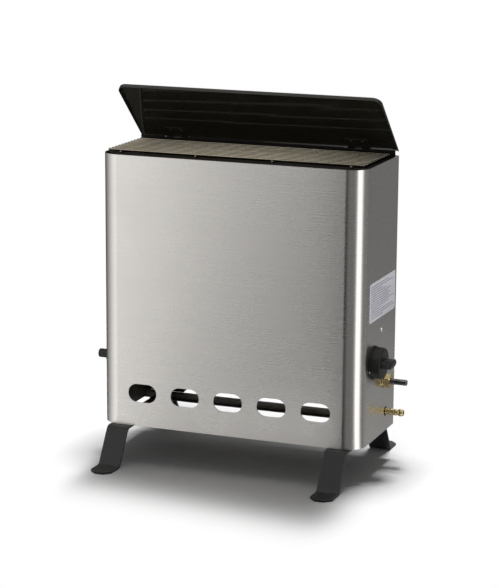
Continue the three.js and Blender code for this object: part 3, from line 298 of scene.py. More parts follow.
def wear_effect():
    """Worn edges: where a rounded normal departs from the true one, broken up by noise."""
    bench, given, out = effect("edge_wear", [("Reach", "Float", 0.0006), ("Amount", "Float", 1.0),
                                             ("Vector", "Vector", None)], ["Mask"])
    rounded = bench.add("Bevel", {"Radius": given["Reach"]}, samples=4).outputs[0]
    true = bench.add("NewGeometry").outputs["Normal"]
    same = bench.add("VectorMath", {0: rounded, 1: true}, operation="DOT_PRODUCT").outputs["Value"]
    edge = bench.span(same, 0.995, 0.86)
    broken = bench.span(bench.noise(given["Vector"], 260.0, 4.0, 0.7), 0.38, 0.62)
    bench.feed(out["Mask"], bench.times(edge, broken, given["Amount"]))
    return bench.tree


def peel_effect():
    """The soft orange peel of sprayed paint: cells of noise over wide swells."""
    bench, given, out = effect("paint_peel", [("Vector", "Vector", None), ("Cells", "Float", 900.0)],
                               ["Height", "Fleck"])
    cells = bench.noise(given["Vector"], given["Cells"], 1.0)
    swells = bench.noise(given["Vector"], bench.times(given["Cells"], 0.18), 1.0)
    bench.feed(out["Height"], bench.calc("MULTIPLY_ADD", swells, 0.8, cells))
    fleck = bench.noise(given["Vector"], bench.times(given["Cells"], 3.1), 0.0)
    bench.feed(out["Fleck"], bench.span(fleck, 0.62, 0.78))
    return bench.tree


def handling_effect():
    """Finger marks and wiped films: wide cloudy noise."""
    bench, given, out = effect("handling_marks", [("Vector", "Vector", None), ("Size", "Float", 14.0)],
                               ["Film"])
    cloud = bench.noise(given["Vector"], given["Size"], 5.0, 0.6)
    bench.feed(out["Film"], bench.span(cloud, 0.38, 0.66))
    return bench.tree


def dust_effect():
    """Dust on faces that look up: the normal's upward share, broken up by noise."""
    bench, given, out = effect("settled_dust", [("Vector", "Vector", None), ("Amount", "Float", 0.3)],
                               ["Mask"])
    up = bench.add("SeparateXYZ", {0: bench.add("NewGeometry").outputs["Normal"]}).outputs["Z"]
    cloud = bench.span(bench.noise(given["Vector"], 90.0, 5.0, 0.65), 0.35, 0.75)
    bench.feed(out["Mask"], bench.times(bench.span(up, 0.55, 0.98), cloud, given["Amount"]))
    return bench.tree


GRAIN = grain_effect()
WEAR = wear_effect()
PEEL = peel_effect()
HANDLING = handling_effect()
DUST = dust_effect()


def tint(red, green, blue):
    """A colour written in display values from 0 to 255, as the linear one that a shader takes."""
    shown = np.array([red, green, blue]) / 255
    linear = np.where(shown <= 0.04045, shown / 12.92, ((shown + 0.055) / 1.055) ** 2.4)
    return (*linear.tolist(), 1.0)


class Finish:
    """A material with one Principled shader, and the ways its inputs are fed."""

    def __init__(self, name, roughness, metallic=0.0, **plain):
        self.material = bpy.data.materials.new(name)
        self.material.use_nodes = True
        self.bench = Bench(self.material.node_tree)
        self.shader = self.material.node_tree.nodes["Principled BSDF"]
        for key, value in {"Roughness": roughness, "Metallic": metallic, **plain}.items():
            self.shader.inputs[key.replace("_", " ")].default_value = value

    @functools.cached_property
    def place(self):
        """The piece's own coordinates."""
        return self.bench.place()

    def effect(self, tree, **inputs):
        """One of the shared effects, placed with this finish's own values."""
        return self.bench.add("Group", inputs, node_tree=tree).outputs

    def wear(self, reach, amount):
        """The mask of worn edges."""
        return self.effect(WEAR, Reach=reach, Amount=amount, Vector=self.place)["Mask"]

    def dust(self, amount):
        """The mask of settled dust."""
        return self.effect(DUST, Vector=self.place, Amount=amount)["Mask"]

    def film(self, size):
        """The mask of handling marks."""
        return self.effect(HANDLING, Vector=self.place, Size=size)["Film"]

    def peel(self, cells):
        """The height and flecks of sprayed paint."""
        return self.effect(PEEL, Vector=self.place, Cells=cells)

    def grain(self, stretch, fineness=1.0):
        """The lines and their height along the least stretched axis."""
        return self.effect(GRAIN, Vector=self.bench.place(stretch), Fineness=fineness)

    def patches(self, scale, low, high, detail=4.0, breakup=0.5):
        """A cloudy mask: noise spread from low to high."""
        return self.bench.span(self.bench.noise(self.place, scale, detail, breakup), low, high)

    def colour(self, ground, *layers):
        """The ground with layers (mask, colour, amount) over it; the amount is 1 where left out."""
        shade = tint(*ground)
        for mask, laid, *amount in layers:
            shade = self.bench.blend(self.bench.times(mask, *amount), shade, tint(*laid))
        self.bench.feed(self.shader.inputs["Base Color"], shade)

    def roughness(self, least, *layers):
        """The least roughness plus each (mask, share): mask times share."""
        for mask, share in layers:
            least = self.bench.calc("MULTIPLY_ADD", mask, share, least)
        self.bench.feed(self.shader.inputs["Roughness"], least)

    def relief(self, height, depth, strength):
        """A relief of the given depth in metres."""
        bump = self.bench.add("Bump", {"Height": height, "Distance": depth, "Strength": strength})
        self.bench.feed(self.shader.inputs["Normal"], bump.outputs[0])


def finish(*values, **plain):
    """Turns the description under it into a material of the same name."""

    def make(describe):
        """The described material; the values are its roughness, metal and other plain inputs."""
        made = Finish(describe.__name__, *values, **plain)
        describe(made)
        return made.material
    return make


@finish(0.27, 1.0, Anisotropic=0.75, Anisotropic_Rotation=0.25)
def brushed_stainless(made):
    """Stainless sheet brushed along its length, with films left by wiping."""
    tangent = made.bench.add("Tangent", direction_type="RADIAL", axis="Z")
    made.bench.feed(made.shader.inputs["Tangent"], tangent.outputs[0])
    lines = made.grain(stretch=(9, 9, 1400), fineness=1.6)
    film = made.film(size=11.0)
    made.colour((209, 206, 201), (lines["Lines"], (217, 214, 210)), (film, (202, 199, 194), 0.3))
    made.roughness(0.24, (lines["Lines"], 0.04), (film, 0.04))
    made.relief(lines["Height"], depth=0.000001, strength=0.3)


@finish(0.6, Specular_IOR_Level=0.12)
def stove_paint(made):
    """Matt black stove paint, a little dusty, browned in patches by the burner's heat."""
    peel = made.peel(cells=1100.0)
    heat = made.patches(scale=18.0, low=0.4, high=0.7)
    made.colour((10, 9, 8), (heat, (15, 13, 11), 0.5), (made.dust(amount=0.05), (90, 86, 78)),
                (made.wear(reach=0.0005, amount=0.35), (70, 68, 64)))
    made.roughness(0.52, (peel["Fleck"], 0.18))
    made.relief(peel["Height"], depth=0.00004, strength=0.5)


@finish(0.55, Specular_IOR_Level=0.4)
def smoked_sheet_with_painted_light(made):
    """Inside sheet, dulled and browned in patches by the burner; its pale ground tone is painted light.
    """
    patches = made.patches(scale=34.0, low=0.35, high=0.7, detail=5.0, breakup=0.6)
    # the pale ground tone is painted light: the inside sheet is lightened in place of light reaching it
    made.colour((96, 93, 86), (patches, (66, 60, 50)), (made.dust(amount=0.3), (120, 114, 102)))
    made.roughness(0.42, (patches, 0.2))
    made.relief(made.bench.noise(made.place, 500.0), depth=0.00002, strength=0.4)


@finish(0.07, Specular_IOR_Level=0.36)
def gloss_enamel(made):
    """Deep black enamel: a nearly flat peel, and films that dull it a little."""
    film = made.film(size=16.0)
    made.colour((25, 24, 19), (film, (30, 28, 23)), (made.dust(amount=0.05), (110, 108, 102)),
                (made.wear(reach=0.0006, amount=0.5), (84, 83, 80)))
    made.roughness(0.05, (film, 0.05))
    made.relief(made.peel(cells=380.0)["Height"], depth=0.00001, strength=0.35)


@finish(0.5, Specular_IOR_Level=0.25)
def leg_powder_coat(made):
    """Dark grey powder coat with a grainy peel, scuffed at the feet and edges."""
    peel = made.peel(cells=1500.0)
    made.colour((27, 27, 27), (peel["Fleck"], (34, 34, 34)), (made.dust(amount=0.1), (96, 93, 88)),
                (made.wear(reach=0.0009, amount=0.55), (92, 91, 88)))
    made.roughness(0.44, (peel["Fleck"], 0.14))
    made.relief(peel["Height"], depth=0.00006, strength=0.6)


@finish(0.26, 1.0)
def nickel_wire(made):
    """Nickel-plated wire with drawing lines, yellowed here and there by heat."""
    bench = made.bench
    lines = made.grain(stretch=(14, 900, 900), fineness=1.2)
    heat = bench.span(bench.noise(bench.place((1, 1.6, 1)), 26.0, 3.0), 0.38, 0.68)
    made.colour((127, 121, 107), (lines["Lines"], (152, 146, 131)), (heat, (128, 116, 88), 0.35))
    made.roughness(0.22, (heat, 0.08))
    made.relief(lines["Height"], depth=0.00001, strength=0.5)


@finish(0.36, 1.0)
def zinc_plate(made):
    """Zinc-plated steel: spangled roughness, faintly blue and yellow."""
    hue = made.patches(scale=120.0, low=0.35, high=0.65, detail=2.0)
    spangle = made.bench.add("TexVoronoi", {"Vector": made.place, "Scale": 700.0}).outputs["Distance"]
    made.colour((176, 180, 184), (hue, (196, 192, 172)),
                (made.wear(reach=0.0004, amount=0.5), (214, 214, 214)))
    made.roughness(0.26, (spangle, 0.25))
    made.relief(spangle, depth=0.00001, strength=0.5)


@finish(0.24, 1.0)
def turned_brass(made):
    """Brass turned on a lathe about X: fine rings, and a film that darkens it in patches."""
    rings = made.grain(stretch=(2600, 40, 40))
    film = made.film(size=160.0)
    made.colour((222, 200, 142), (rings["Lines"], (240, 224, 172)), (film, (160, 130, 74), 0.35))
    made.roughness(0.14, (film, 0.14))
    made.relief(rings["Height"], depth=0.000015, strength=0.6)


@finish(0.3, 1.0)
def drawn_copper(made):
    """Copper tube, dulled in patches."""
    patches = made.patches(scale=70.0, low=0.4, high=0.66, detail=5.0, breakup=0.65)
    made.colour((214, 138, 98), (patches, (130, 78, 54)))
    made.roughness(0.22, (patches, 0.26))
    made.relief(made.bench.noise(made.place, 900.0), depth=0.00001, strength=0.4)


@finish(0.46, 0.85)
def die_casting(made):
    """Die-cast alloy: a frosty skin with faint flow marks."""
    bench = made.bench
    flow = bench.noise(bench.place((1, 1, 3)), 60.0, 4.0, 0.6)
    made.colour((150, 151, 153), (bench.span(flow, 0.35, 0.65), (176, 177, 178)),
                (made.wear(reach=0.0007, amount=0.6), (205, 205, 204)))
    made.roughness(0.36, (flow, 0.2))
    made.relief(bench.noise(made.place, 1600.0), depth=0.00005, strength=0.6)


@finish(0.42, Specular_IOR_Level=0.32)
def moulded_plastic(made):
    """Black moulded plastic with a fine spark-eroded grain, polished by fingers at its edges."""
    peel = made.peel(cells=2600.0)
    wear = made.wear(reach=0.0012, amount=0.5)
    made.colour((15, 15, 14), (made.film(size=90.0), (21, 21, 20)), (wear, (38, 37, 36)))
    made.roughness(0.38, (peel["Fleck"], 0.1), (wear, -0.12))
    made.relief(peel["Height"], depth=0.00003, strength=0.5)


@finish(0.13, IOR=1.9, Specular_IOR_Level=1.0)
def polished_rod(made):
    """A dark polished rod, lightly scratched along its length by its travel."""
    lines = made.grain(stretch=(30, 1500, 1500))
    made.colour((18, 18, 17), (lines["Lines"], (28, 28, 27)))
    made.roughness(0.1, (lines["Lines"], 0.1))
    made.relief(lines["Height"], depth=0.00001, strength=0.4)


@finish(0.2)
def glazed_ceramic(made):
    """A white glazed insulator, smoked in places."""
    smoke = made.patches(scale=160.0, low=0.5, high=0.75)
    made.colour((228, 224, 212), (smoke, (150, 138, 120)))
    made.roughness(0.16, (smoke, 0.3))
    made.relief(made.bench.noise(made.place, 700.0), depth=0.00002, strength=0.4)


@finish(0.62)
def silicone_sleeve(made):
    """Dark silicone over the lead, dull and slightly ribbed."""
    made.colour((44, 36, 34), (made.dust(amount=0.3), (118, 108, 98)))
    made.roughness(0.52, (made.bench.noise(made.place, 400.0), 0.2))
    made.relief(made.bench.noise(made.place, 1400.0), depth=0.00004, strength=0.5)


def framed(bench, value, margin):
    """1 between the margins of a span from 0 to 1, and 0 outside them."""
    past_low = bench.calc("GREATER_THAN", value, margin)
    before_high = bench.calc("LESS_THAN", value, 1 - margin)
    return bench.times(past_low, before_high)


def ruled_rows(bench, across, up, count=16.0):
    """Thin rows of uneven length inside the label's margins, as a mask."""
    row = bench.times(up, count)
    number = bench.calc("FLOOR", row)
    chance = bench.add("TexWhiteNoise", {"W": number}, noise_dimensions="1D").outputs["Value"]
    length = bench.calc("MULTIPLY_ADD", chance, 0.6, 0.42)
    off_middle = bench.calc("ABSOLUTE", bench.calc("SUBTRACT", bench.calc("FRACT", row), 0.5))
    thin = bench.span(off_middle, 0.2, 0.1)
    long_enough = bench.calc("LESS_THAN", across, length)
    inside = bench.times(framed(bench, across, 0.05), framed(bench, up, 0.07))
    return bench.times(thin, long_enough, inside)


@finish(0.36, 0.15)
def ruled_foil(made):
    """A satin foil label without words: pale lilac-grey, with thin ruled rows."""
    bench = made.bench
    low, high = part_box("label_plate")
    own = bench.add("SeparateXYZ", {0: bench.add("TexCoord").outputs["Object"]}).outputs
    lines = ruled_rows(bench, bench.span(own["Y"], low.y, high.y), bench.span(own["Z"], low.z, high.z))
    film = made.film(size=30.0)
    made.colour((200, 199, 207), (film, (190, 189, 198)), (lines, (76, 75, 84), 0.9))
    made.roughness(0.32, (film, 0.12))
    made.relief(bench.noise(made.place, 1200.0), depth=0.00001, strength=0.3)


@finish(0.5)
def printed_mark(made):
    """White paint printed on the sheet or the knob, thin in places."""
    thin = made.patches(scale=900.0, low=0.4, high=0.7, detail=3.0)
    made.colour((226, 224, 218), (thin, (168, 166, 160), 0.3))
    made.roughness(0.42, (thin, 0.15))
    made.relief(made.bench.noise(made.place, 2400.0), depth=0.00001, strength=0.4)


@finish(0.34, 1.0)
def heated_stainless(made):
    """Stainless tube with straw and blue tempering colours."""
    bench = made.bench
    lines = made.grain(stretch=(12, 900, 900))
    heat = bench.noise(bench.place((0.4, 1, 1)), 60.0, 4.0)
    made.colour((176, 174, 170), (bench.span(heat, 0.38, 0.52), (176, 146, 98)),
                (bench.span(heat, 0.54, 0.66), (84, 84, 110)))
    made.roughness(0.26, (heat, 0.2))
    made.relief(lines["Height"], depth=0.00001, strength=0.5)


# ---- eased copies of the plain solids

EASED = (
    (stove_paint, "black_sheet", 0.15, ("rear_panel", "top_frame", "hinge_bracket_left",
                                        "hinge_bracket_right")),
    (gloss_enamel, "black_sheet", 0.15, ("lid_leaf_left", "lid_leaf_right")),
    (smoked_sheet_with_painted_light, "black_sheet", 0.15, ("side_liner_left", "side_liner_right", "front_liner",
                                         "rear_base_rail", "front_base_rail")),
    (brushed_stainless, "stainless", 0.2, ("outer_wrap",)),
    (leg_powder_coat, "leg_paint", 0.5, ("leg_strap_left", "leg_strap_right")),
    (zinc_plate, "zinc_steel", 0.15, ("burner_bracket_left", "burner_bracket_right",
                                      "hinge_pin_left", "hinge_pin_right", "control_valve_nut",
                                      "control_spindle")),
    (zinc_plate, "zinc_steel", 0, ("push_rod_spring", "piezo_spring")),
    (die_casting, "cast_alloy", 0.6, ("control_valve",)),
    (turned_brass, "brass", 0.3, ("flame_failure_valve", "valve_nut", "inlet_elbow", "injector")),
    (drawn_copper, "copper", 0, ("inlet_pipe", "link_pipe", "burner_pipe", "thermocouple_probe",
                                 "thermocouple_lead")),
    (silicone_sleeve, "lead_sleeve", 0, ("ignition_lead",)),
    (glazed_ceramic, "ceramic", 0, ("spark_electrode",)),
    (moulded_plastic, "black_plastic", 0, ("piezo_igniter",)),
    (heated_stainless, "stainless", 0, ("burner_tube",)),
)


def dress(piece, material):
    """Gives a piece its material."""
    piece.data.materials.clear()
    piece.data.materials.append(material)


for material, slot, edge, nodes in EASED:
    for node in nodes:
        dress(eased_copy(node, edge * MM), material)


def formed(name, parts, body, nodes, material, angle=40):
    """One dressed piece from several (points, faces), which stands for the named nodes."""
    piece = mesh_object(name, *merged(parts))
    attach(piece, body)
    if nodes:
        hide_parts(*nodes)
    dress(smooth(clean(piece), angle), material)


# ---- profiles and outlines


def capsule(start, end, radius, steps=5):
    """A profile along a wire with domed ends: x = r - r cos a and radius = r sin a at each end."""
    a = np.linspace(0, QUARTER, steps)
    left = np.stack([start + radius - radius * np.cos(a), radius * np.sin(a)], 1)
    right = np.stack([end - radius + radius * np.sin(a), radius * np.cos(a)], 1)
    return np.concatenate([left, right])


def domed_profile(foot, top, radius, dome, steps=8):
    """A button head: straight to the dome, then radius cos a and height dome sin a."""
    a = np.linspace(0, QUARTER, steps)
    cap = np.stack([top - dome + dome * np.sin(a), radius * np.cos(a)], 1)
    return np.concatenate([[(foot, 0), (foot, radius)], cap])


def edge_levels(low, high, soft, steps=4):
    """Levels of a plate with rounded rims: (height, inset) on a quarter circle at each rim."""
    a = np.linspace(0, QUARTER, steps)
    bottom = np.stack([low + soft - soft * np.cos(a), soft - soft * np.sin(a)], 1)
    top = np.stack([high - soft + soft * np.sin(a), soft - soft * np.cos(a)], 1)
    return np.concatenate([bottom, top])


def edge_profile(low, high, radius, soft):
    """A disc's profile with both rims rounded: its radius less the inset of each level."""
    level, inset = edge_levels(low, high, soft).T
    return np.concatenate([[(low, 0)], np.column_stack([level, radius - inset]), [(high, 0)]])


def rounded_outline(x0, x1, y0, y1, radii, steps=10):
    """Points and inward normals round a rectangle whose corners are arcs of the given radii.

    The corners run from (x0, y0) anticlockwise; on each arc p = c - r n, with n turning by 90 degrees.
    """
    corners = ((x0, y0, 1, 1), (x1, y0, -1, 1), (x1, y1, -1, -1), (x0, y1, 1, -1))
    places, normals = [], []
    for i, ((x, y, sx, sy), radius) in enumerate(zip(corners, radii)):
        angle = i * QUARTER + np.linspace(0, QUARTER, steps)
        normal = np.stack([np.cos(angle), np.sin(angle)], 1)
        centre = np.array([x + sx * radius, y + sy * radius])
        places.append(centre - radius * normal)
        normals.append(normal)
    return np.concatenate(places), np.concatenate(normals)


def on_right_wall(plane, height):
    """Plane points (y, z) lifted along +X off the right wall."""
    return np.column_stack([np.full(len(plane), RIGHT_WALL + height), plane])


def wall_plate(outline, normals, levels):
    """A plate on the right wall: its outline inset and lifted, p + inset n at each (height, inset)."""
    rings = [on_right_wall(outline + inset * normals, height) for height, inset in levels]
    return np.concatenate(rings), tube_faces(len(levels), len(outline))


# ---- grille and lid

WIRE_SIDES = 14


def grille_wires():
    """Eleven long wires welded on four cross wires: round rods whose ends are half spheres."""
    low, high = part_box("grille")
    radius, cross_radius, half = 1.4 * MM, 1.5 * MM, 179 * MM
    rows = np.linspace(-53.5, 48.5, 11) * MM
    crossings = np.array([-160.5, -53.5, 53.5, 160.5]) * MM + SHIFT_X
    long_wire = capsule(SHIFT_X - half, SHIFT_X + half, radius)
    cross_wire = capsule(low.y, high.y, cross_radius)
    parts = [turned_form(long_wire, WIRE_SIDES, "x", (0, y, high.z - radius)) for y in rows]
    parts += [turned_form(cross_wire, WIRE_SIDES, "y", (x, 0, low.z + cross_radius)) for x in crossings]
    formed("grille_wires", parts, "cabinet", ["grille"], nickel_wire, 60)


def swung_open(points):
    """Points of the shut lid, turned up about X by the lid's angle and moved to the hinge's axis."""
    turned = np.asarray(points) @ np.array(Matrix.Rotation(-LID_ANGLE, 3, "X")).T
    return turned + np.array([SHIFT_X, HINGE_Y, HINGE_Z])


def lid_rings(lip_share, top, sheet, lip, fold):
    """The (inset, height) of each ring of the lid: over the rim, round the hem and up inside it.

    The rim is a quarter circle, inset = r - r sin a and height = top - r + r cos a; the hem is half
    an ellipse from the sheet's outer face to its inner one, and a quarter circle turns up from it
    to the underside. Each radius follows the lip's share at its point of the outline.
    """
    rim = fold + 1.55 * MM * lip_share
    hem = fold * lip_share
    inner = sheet * lip_share
    depth = sheet + (lip - sheet) * lip_share
    for a in np.linspace(0, QUARTER, 6):
        yield rim - rim * math.sin(a), top - rim + rim * math.cos(a)
    for a in np.linspace(0, math.pi, 7):
        yield sheet / 2 - sheet / 2 * math.cos(a), top - depth + hem - hem * math.sin(a)
    for a in np.linspace(0, QUARTER, 5):
        yield sheet + inner - inner * math.cos(a), top - sheet - inner + inner * math.sin(a)


def lid_pan():
    """The pressed lid: its outline carried down a rounded rim to a hemmed lip and up inside it.

    The lip's depth is 6 mm along the sides and front, and just the sheet's 1 mm along the rear.
    """
    half, front, rear, corner, heel = 185 * MM, -113 * MM, 2 * MM, 12 * MM, 1.2 * MM
    top, sheet, lip, fold = 3.6 * MM, 1.0 * MM, 6.0 * MM, 0.45 * MM
    outline, normals = rounded_outline(-half, half, front, rear, (corner, corner, heel, heel), 14)
    lip_share = np.clip((heel - outline[:, 1]) / sheet, 0, 1)[:, None]
    level = np.ones_like(lip_share)
    space = [np.column_stack([outline + inset * normals, height * level])
             for inset, height in lid_rings(lip_share, top, sheet, lip, fold)]
    part = swung_open(np.concatenate(space)), tube_faces(len(space), len(outline))
    formed("lid_pan", [part], "lid", ["lid"], gloss_enamel)


def lid_rivets():
    """Four domed rivets through the lid and its hinge leaves."""
    spread, behind = 8 * MM, -15 * MM
    head = domed_profile(3.7 * MM, 4.7 * MM, 3 * MM, 0.9 * MM)
    shank = np.array([(1.0, 1.5), (3.9, 1.5)]) * MM
    tail = np.array([(0.6, 1.6), (0.8, 2.2), (1.4, 2.4)]) * MM
    for side, x_side in (("left", -1), ("right", 1)):
        for end, x_end in (("inner", -1), ("outer", 1)):
            centre = (x_side * HINGE_MIDDLE + x_end * spread, behind, 0)
            points, faces = merged([turned_form(profile, sides, "z", centre)
                                    for profile, sides in ((head, 24), (shank, 16), (tail, 20))])
            node = f"lid_rivet_{side}_{end}"
            formed(node + "_domed", [(swung_open(points), faces)], "lid", [node], gloss_enamel)


def notch_welds():
    """Weld beads in the lower corners of the upstand's notches, where the hinge brackets join it."""
    lying = ((1.4 * MM, 0.5 * MM, UPSTAND_Y, 424.2 * MM), (1.6 * MM, 0.7 * MM, 65.2 * MM, 424.05 * MM))
    upright = capsule(423.9 * MM, 425.3 * MM, 0.5 * MM)
    parts = []
    for middle in (-HINGE_MIDDLE, HINGE_MIDDLE):
        for side in (-1, 1):
            x = SHIFT_X + middle + 16.2 * MM * side
            for half, radius, y, z in lying:
                bead = capsule(x - half, x + half, radius)
                parts.append(turned_form(bead, WIRE_SIDES, "x", (0, y, z)))
            parts.append(turned_form(upright, WIRE_SIDES, "z", (x + side * MM, UPSTAND_Y, 0)))
    formed("notch_welds", parts, "cabinet", [], stove_paint)


# ---- feet and rear


def fasteners(kind, rows, columns):
    """Each fastener's node with its box: kind_row_column."""
    for row in rows:
        for column in columns:
            node = f"{kind}_{row}_{column}"
            yield node, *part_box(node)


def leg_rivets():
    """Rivets that hold the straps: a dome under the strap and a flat head on the foot inside."""
    dome_height, head_height, shank_radius = 1.8 * MM, 1.8 * MM, 2.3 * MM
    dome = domed_profile(0, dome_height, 4.6 * MM, 1.6 * MM) * (-1, 1)
    for node, low, high in fasteners("leg_rivet", ("left", "right"), ("front", "rear")):
        x, y = (low.x + high.x) / 2, (low.y + high.y) / 2
        shank = [(low.z + MM, shank_radius), (high.z - MM, shank_radius)]
        head = edge_profile(high.z - head_height, high.z, 3.6 * MM, 0.5 * MM)
        parts = [turned_form(dome, 28, "z", (x, y, low.z + dome_height)),
                 turned_form(shank, 20, "z", (x, y, 0)), turned_form(head, 24, "z", (x, y, 0))]
        formed(node + "_domed", parts, "cabinet", [node], zinc_plate)


def cross_recess(y, z, depth, reach):
    """Depth of a cross-shaped recess: two bars that narrow downwards, deepest in the middle."""
    near = np.minimum(np.abs(y), np.abs(z)) / (0.26 * reach)
    far = np.maximum(np.abs(y), np.abs(z)) / reach
    return depth * np.clip(1.6 - 1.6 * near, 0, 1) * np.clip(1.7 - 1.7 * far, 0, 1)


def crossed_head(x, z, foot, top, radius=3.6 * MM, rings=22, sides=48):
    """A pan head: height = dome - cross recess over a disc of rings, and a skirt down to its foot."""
    ring = np.linspace(1, 0.02, rings)[:, None] * radius
    angle = np.linspace(0, TURN, sides, endpoint=False)[None]
    a, c = ring * np.cos(angle), ring * np.sin(angle)
    dome = 1.5 * MM * np.sqrt(1 - (ring / radius) ** 2 * 0.86)
    lift = foot + 0.3 * MM + dome - cross_recess(a, c, 1.1 * MM, 2.5 * MM)
    head = np.stack([x + a, np.minimum(lift, top), z + c], -1).reshape(-1, 3)
    skirt = np.stack([x + a[0], np.full(sides, foot), z + c[0]], -1)
    return np.concatenate([skirt, head]), tube_faces(rings + 1, sides)


def rear_screws():
    """The four pan-head screws of the rear panel, each on a shank with a narrower tip."""
    head_height, tip_radius, shank_radius = 1.8 * MM, 1.2 * MM, 1.7 * MM
    for node, low, high in fasteners("rear_screw", ("lower", "upper"), ("left", "right")):
        x, z, foot = (low.x + high.x) / 2, (low.z + high.z) / 2, high.y - head_height
        shank = [(low.y, tip_radius), (low.y + MM, shank_radius), (foot + 0.2 * MM, shank_radius)]
        parts = [crossed_head(x, z, foot, high.y), turned_form(shank, 20, "y", (x, 0, z))]
        formed(node + "_crossed", parts, "cabinet", [node], zinc_plate, 35)


# ---- controls on the right wall

KNOB_SIDES = 96
GRIP_HALF_LENGTH = 15.7 * MM
GRIP_HALF_WIDTH = 5.8 * MM


def right_turned(profile, place, sides=56):
    """A turned form on the right wall; its profile is (reach, radius, softness) in millimetres."""
    return turned_form(soft_profile(profile) * MM, sides, "x", (RIGHT_WALL, *place))


def grip_outline(power=2.7, count=120):
    """The grip bar's outline |y/a|^p + |z/b|^p = 1, and its inward normals."""
    angle = np.linspace(0, TURN, count, endpoint=False)
    half = np.array([GRIP_HALF_LENGTH, GRIP_HALF_WIDTH])
    heading = np.column_stack([np.cos(angle), np.sin(angle)])
    outline = half * np.sign(heading) * np.abs(heading) ** (2 / power)
    outward = np.sign(outline) * np.abs(outline / half) ** (power - 1) / half
    return outline, -outward / np.linalg.norm(outward, axis=1)[:, None]


def fluted_grip(foot, top, depth, soft):
    """The grip bar between two reaches: its ends carry flutes of depth d (1 + cos 22 a) / 2.

    a is the turn round the outline; the flutes fade towards the middle of each flank and near both
    reaches, so the foot and the face edge stay plain.
    """
    outline, normals = grip_outline()
    turn = np.arctan2(outline[:, 1] / GRIP_HALF_WIDTH, outline[:, 0] / GRIP_HALF_LENGTH)
    at_ends = np.clip((np.abs(outline[:, 0]) / MM - 6) / 6, 0, 1)
    flute = depth * at_ends * (1 + np.cos(22 * turn)) / 2
    rows = []
    for share in np.linspace(0, 1, 16):
        reach = foot + (top - foot) * share
        waist = 0.35 * MM * math.sin(math.pi * share)
        rounding = soft * (1 - math.sqrt(1 - max(0.0, (reach - top + soft) / soft) ** 2))
        inset = waist + rounding + flute * min(1.0, 5 * share, 5 * (1 - share))
        rows.append(on_right_wall(outline + np.array(CONTROL) + normals * inset[:, None], reach))
    count = len(outline)
    apex = len(rows) * count
    start = apex - count
    faces = grid_faces(len(rows), count)
    faces += [[start + k, start + (k + 1) % count, apex] for k in range(count)]
    return np.concatenate([*rows, rows[-1].mean(0)[None]]), faces


def control_knob():
    """Cup, hub and fluted grip bar of the knob."""
    cup = [(14.5, 0, 0), (14.5, 20.7, 2.2), (1.9, 21.4, 0.4), (1.9, 19.5, 0.4), (12.6, 18.8, 1.6),
           (12.6, 0, 0)]
    hub = [(13, 0, 0), (13, 6.5, 0), (5.8, 6.5, 0.4), (5.8, 3.2, 0), (11.8, 3.2, 0), (11.8, 0, 0)]
    parts = [right_turned(cup, CONTROL, KNOB_SIDES), right_turned(hub, CONTROL, 40),
             fluted_grip(14.2 * MM, 26.4 * MM, 0.55 * MM, 1.5 * MM)]
    formed("control_knob_moulded", parts, "knob", ["control_knob"], moulded_plastic)


def knob_details():
    """The bezel behind the knob, a pale line along its grip and an index dot on the bezel's rim."""
    bezel = right_turned([(0.3, 11, 0), (0.3, 22.6, 0), (1.5, 22.6, 0.5), (1.5, 11, 0), (0.3, 11, 0)],
                         CONTROL, KNOB_SIDES)
    formed("knob_bezel_ring", [bezel], "cabinet", ["knob_bezel"], moulded_plastic, 35)
    outline, normals = rounded_outline(8 * MM, 13.4 * MM, -0.5 * MM, 0.5 * MM, [0.4 * MM] * 4, 6)
    line = wall_plate(outline + np.array(CONTROL), normals,
                      edge_levels(26.3 * MM, 26.4 * MM, 0.04 * MM))
    formed("grip_line", [line], "knob", [], printed_mark)
    angle, reach = math.radians(202), 22.3 * MM
    y, z = CONTROL[0] + reach * math.cos(angle), CONTROL[1] + reach * math.sin(angle)
    dot = turned_form(edge_profile(1.2 * MM, 1.75 * MM, 0.9 * MM, 0.2 * MM), 20, "x", (RIGHT_WALL, y, z))
    formed("bezel_dot", [dot], "cabinet", [], printed_mark)


def safety_valve_outside():
    """The dark push rod with its domed end, and the brass washer under the valve's nut."""
    rod = right_turned([(-20.6, 0, 0), (-20.6, 4, 0), (32, 4, 0.9), (32, 0, 0)], SAFETY)
    formed("push_rod_polished", [rod], "push_rod", ["push_rod"], polished_rod, 35)
    washer = right_turned([(0.3, 7.1, 0), (0.3, 10, 0.3), (1.7, 10, 0.4), (1.7, 7.1, 0),
                           (0.3, 7.1, 0)], SAFETY)
    formed("valve_washer_turned", [washer], "cabinet", ["valve_washer"], turned_brass, 35)


def hose_nozzle():
    """The ribbed nozzle: stem, saw-tooth ribs and the bulb, bored through, and its hex inside."""
    inner, hex_width = -25, 17
    ribs = []
    for start in (0.5, 6.5, 12.5):
        ribs += [(start + 0.2, 4.5, 0.15), (start + 1.6, 4.5, 0.6), (start + 5.6, 3.7, 0.3)]
    stem = [(inner, 2.2, 0), (inner, 4.3, 0), (0.5, 4.3, 0), *ribs, (19.5, 4.9, 0.8), (22.5, 4.9, 1.2),
            (25.5, 3.7, 0.3), (25.5, 2.2, 0), (inner, 2.2, 0)]
    hex_radius = hex_width / 2 / math.cos(math.pi / 6)
    rim = [(inner, 2.3, 0), (inner, hex_radius, 0), (-18, hex_radius, 0), (-18, 2.3, 0), (inner, 2.3, 0)]
    parts = [right_turned(stem, INLET, 64), right_turned(rim, INLET, 6)]
    formed("hose_nozzle_turned", parts, "cabinet", ["hose_nozzle"], turned_brass, 35)


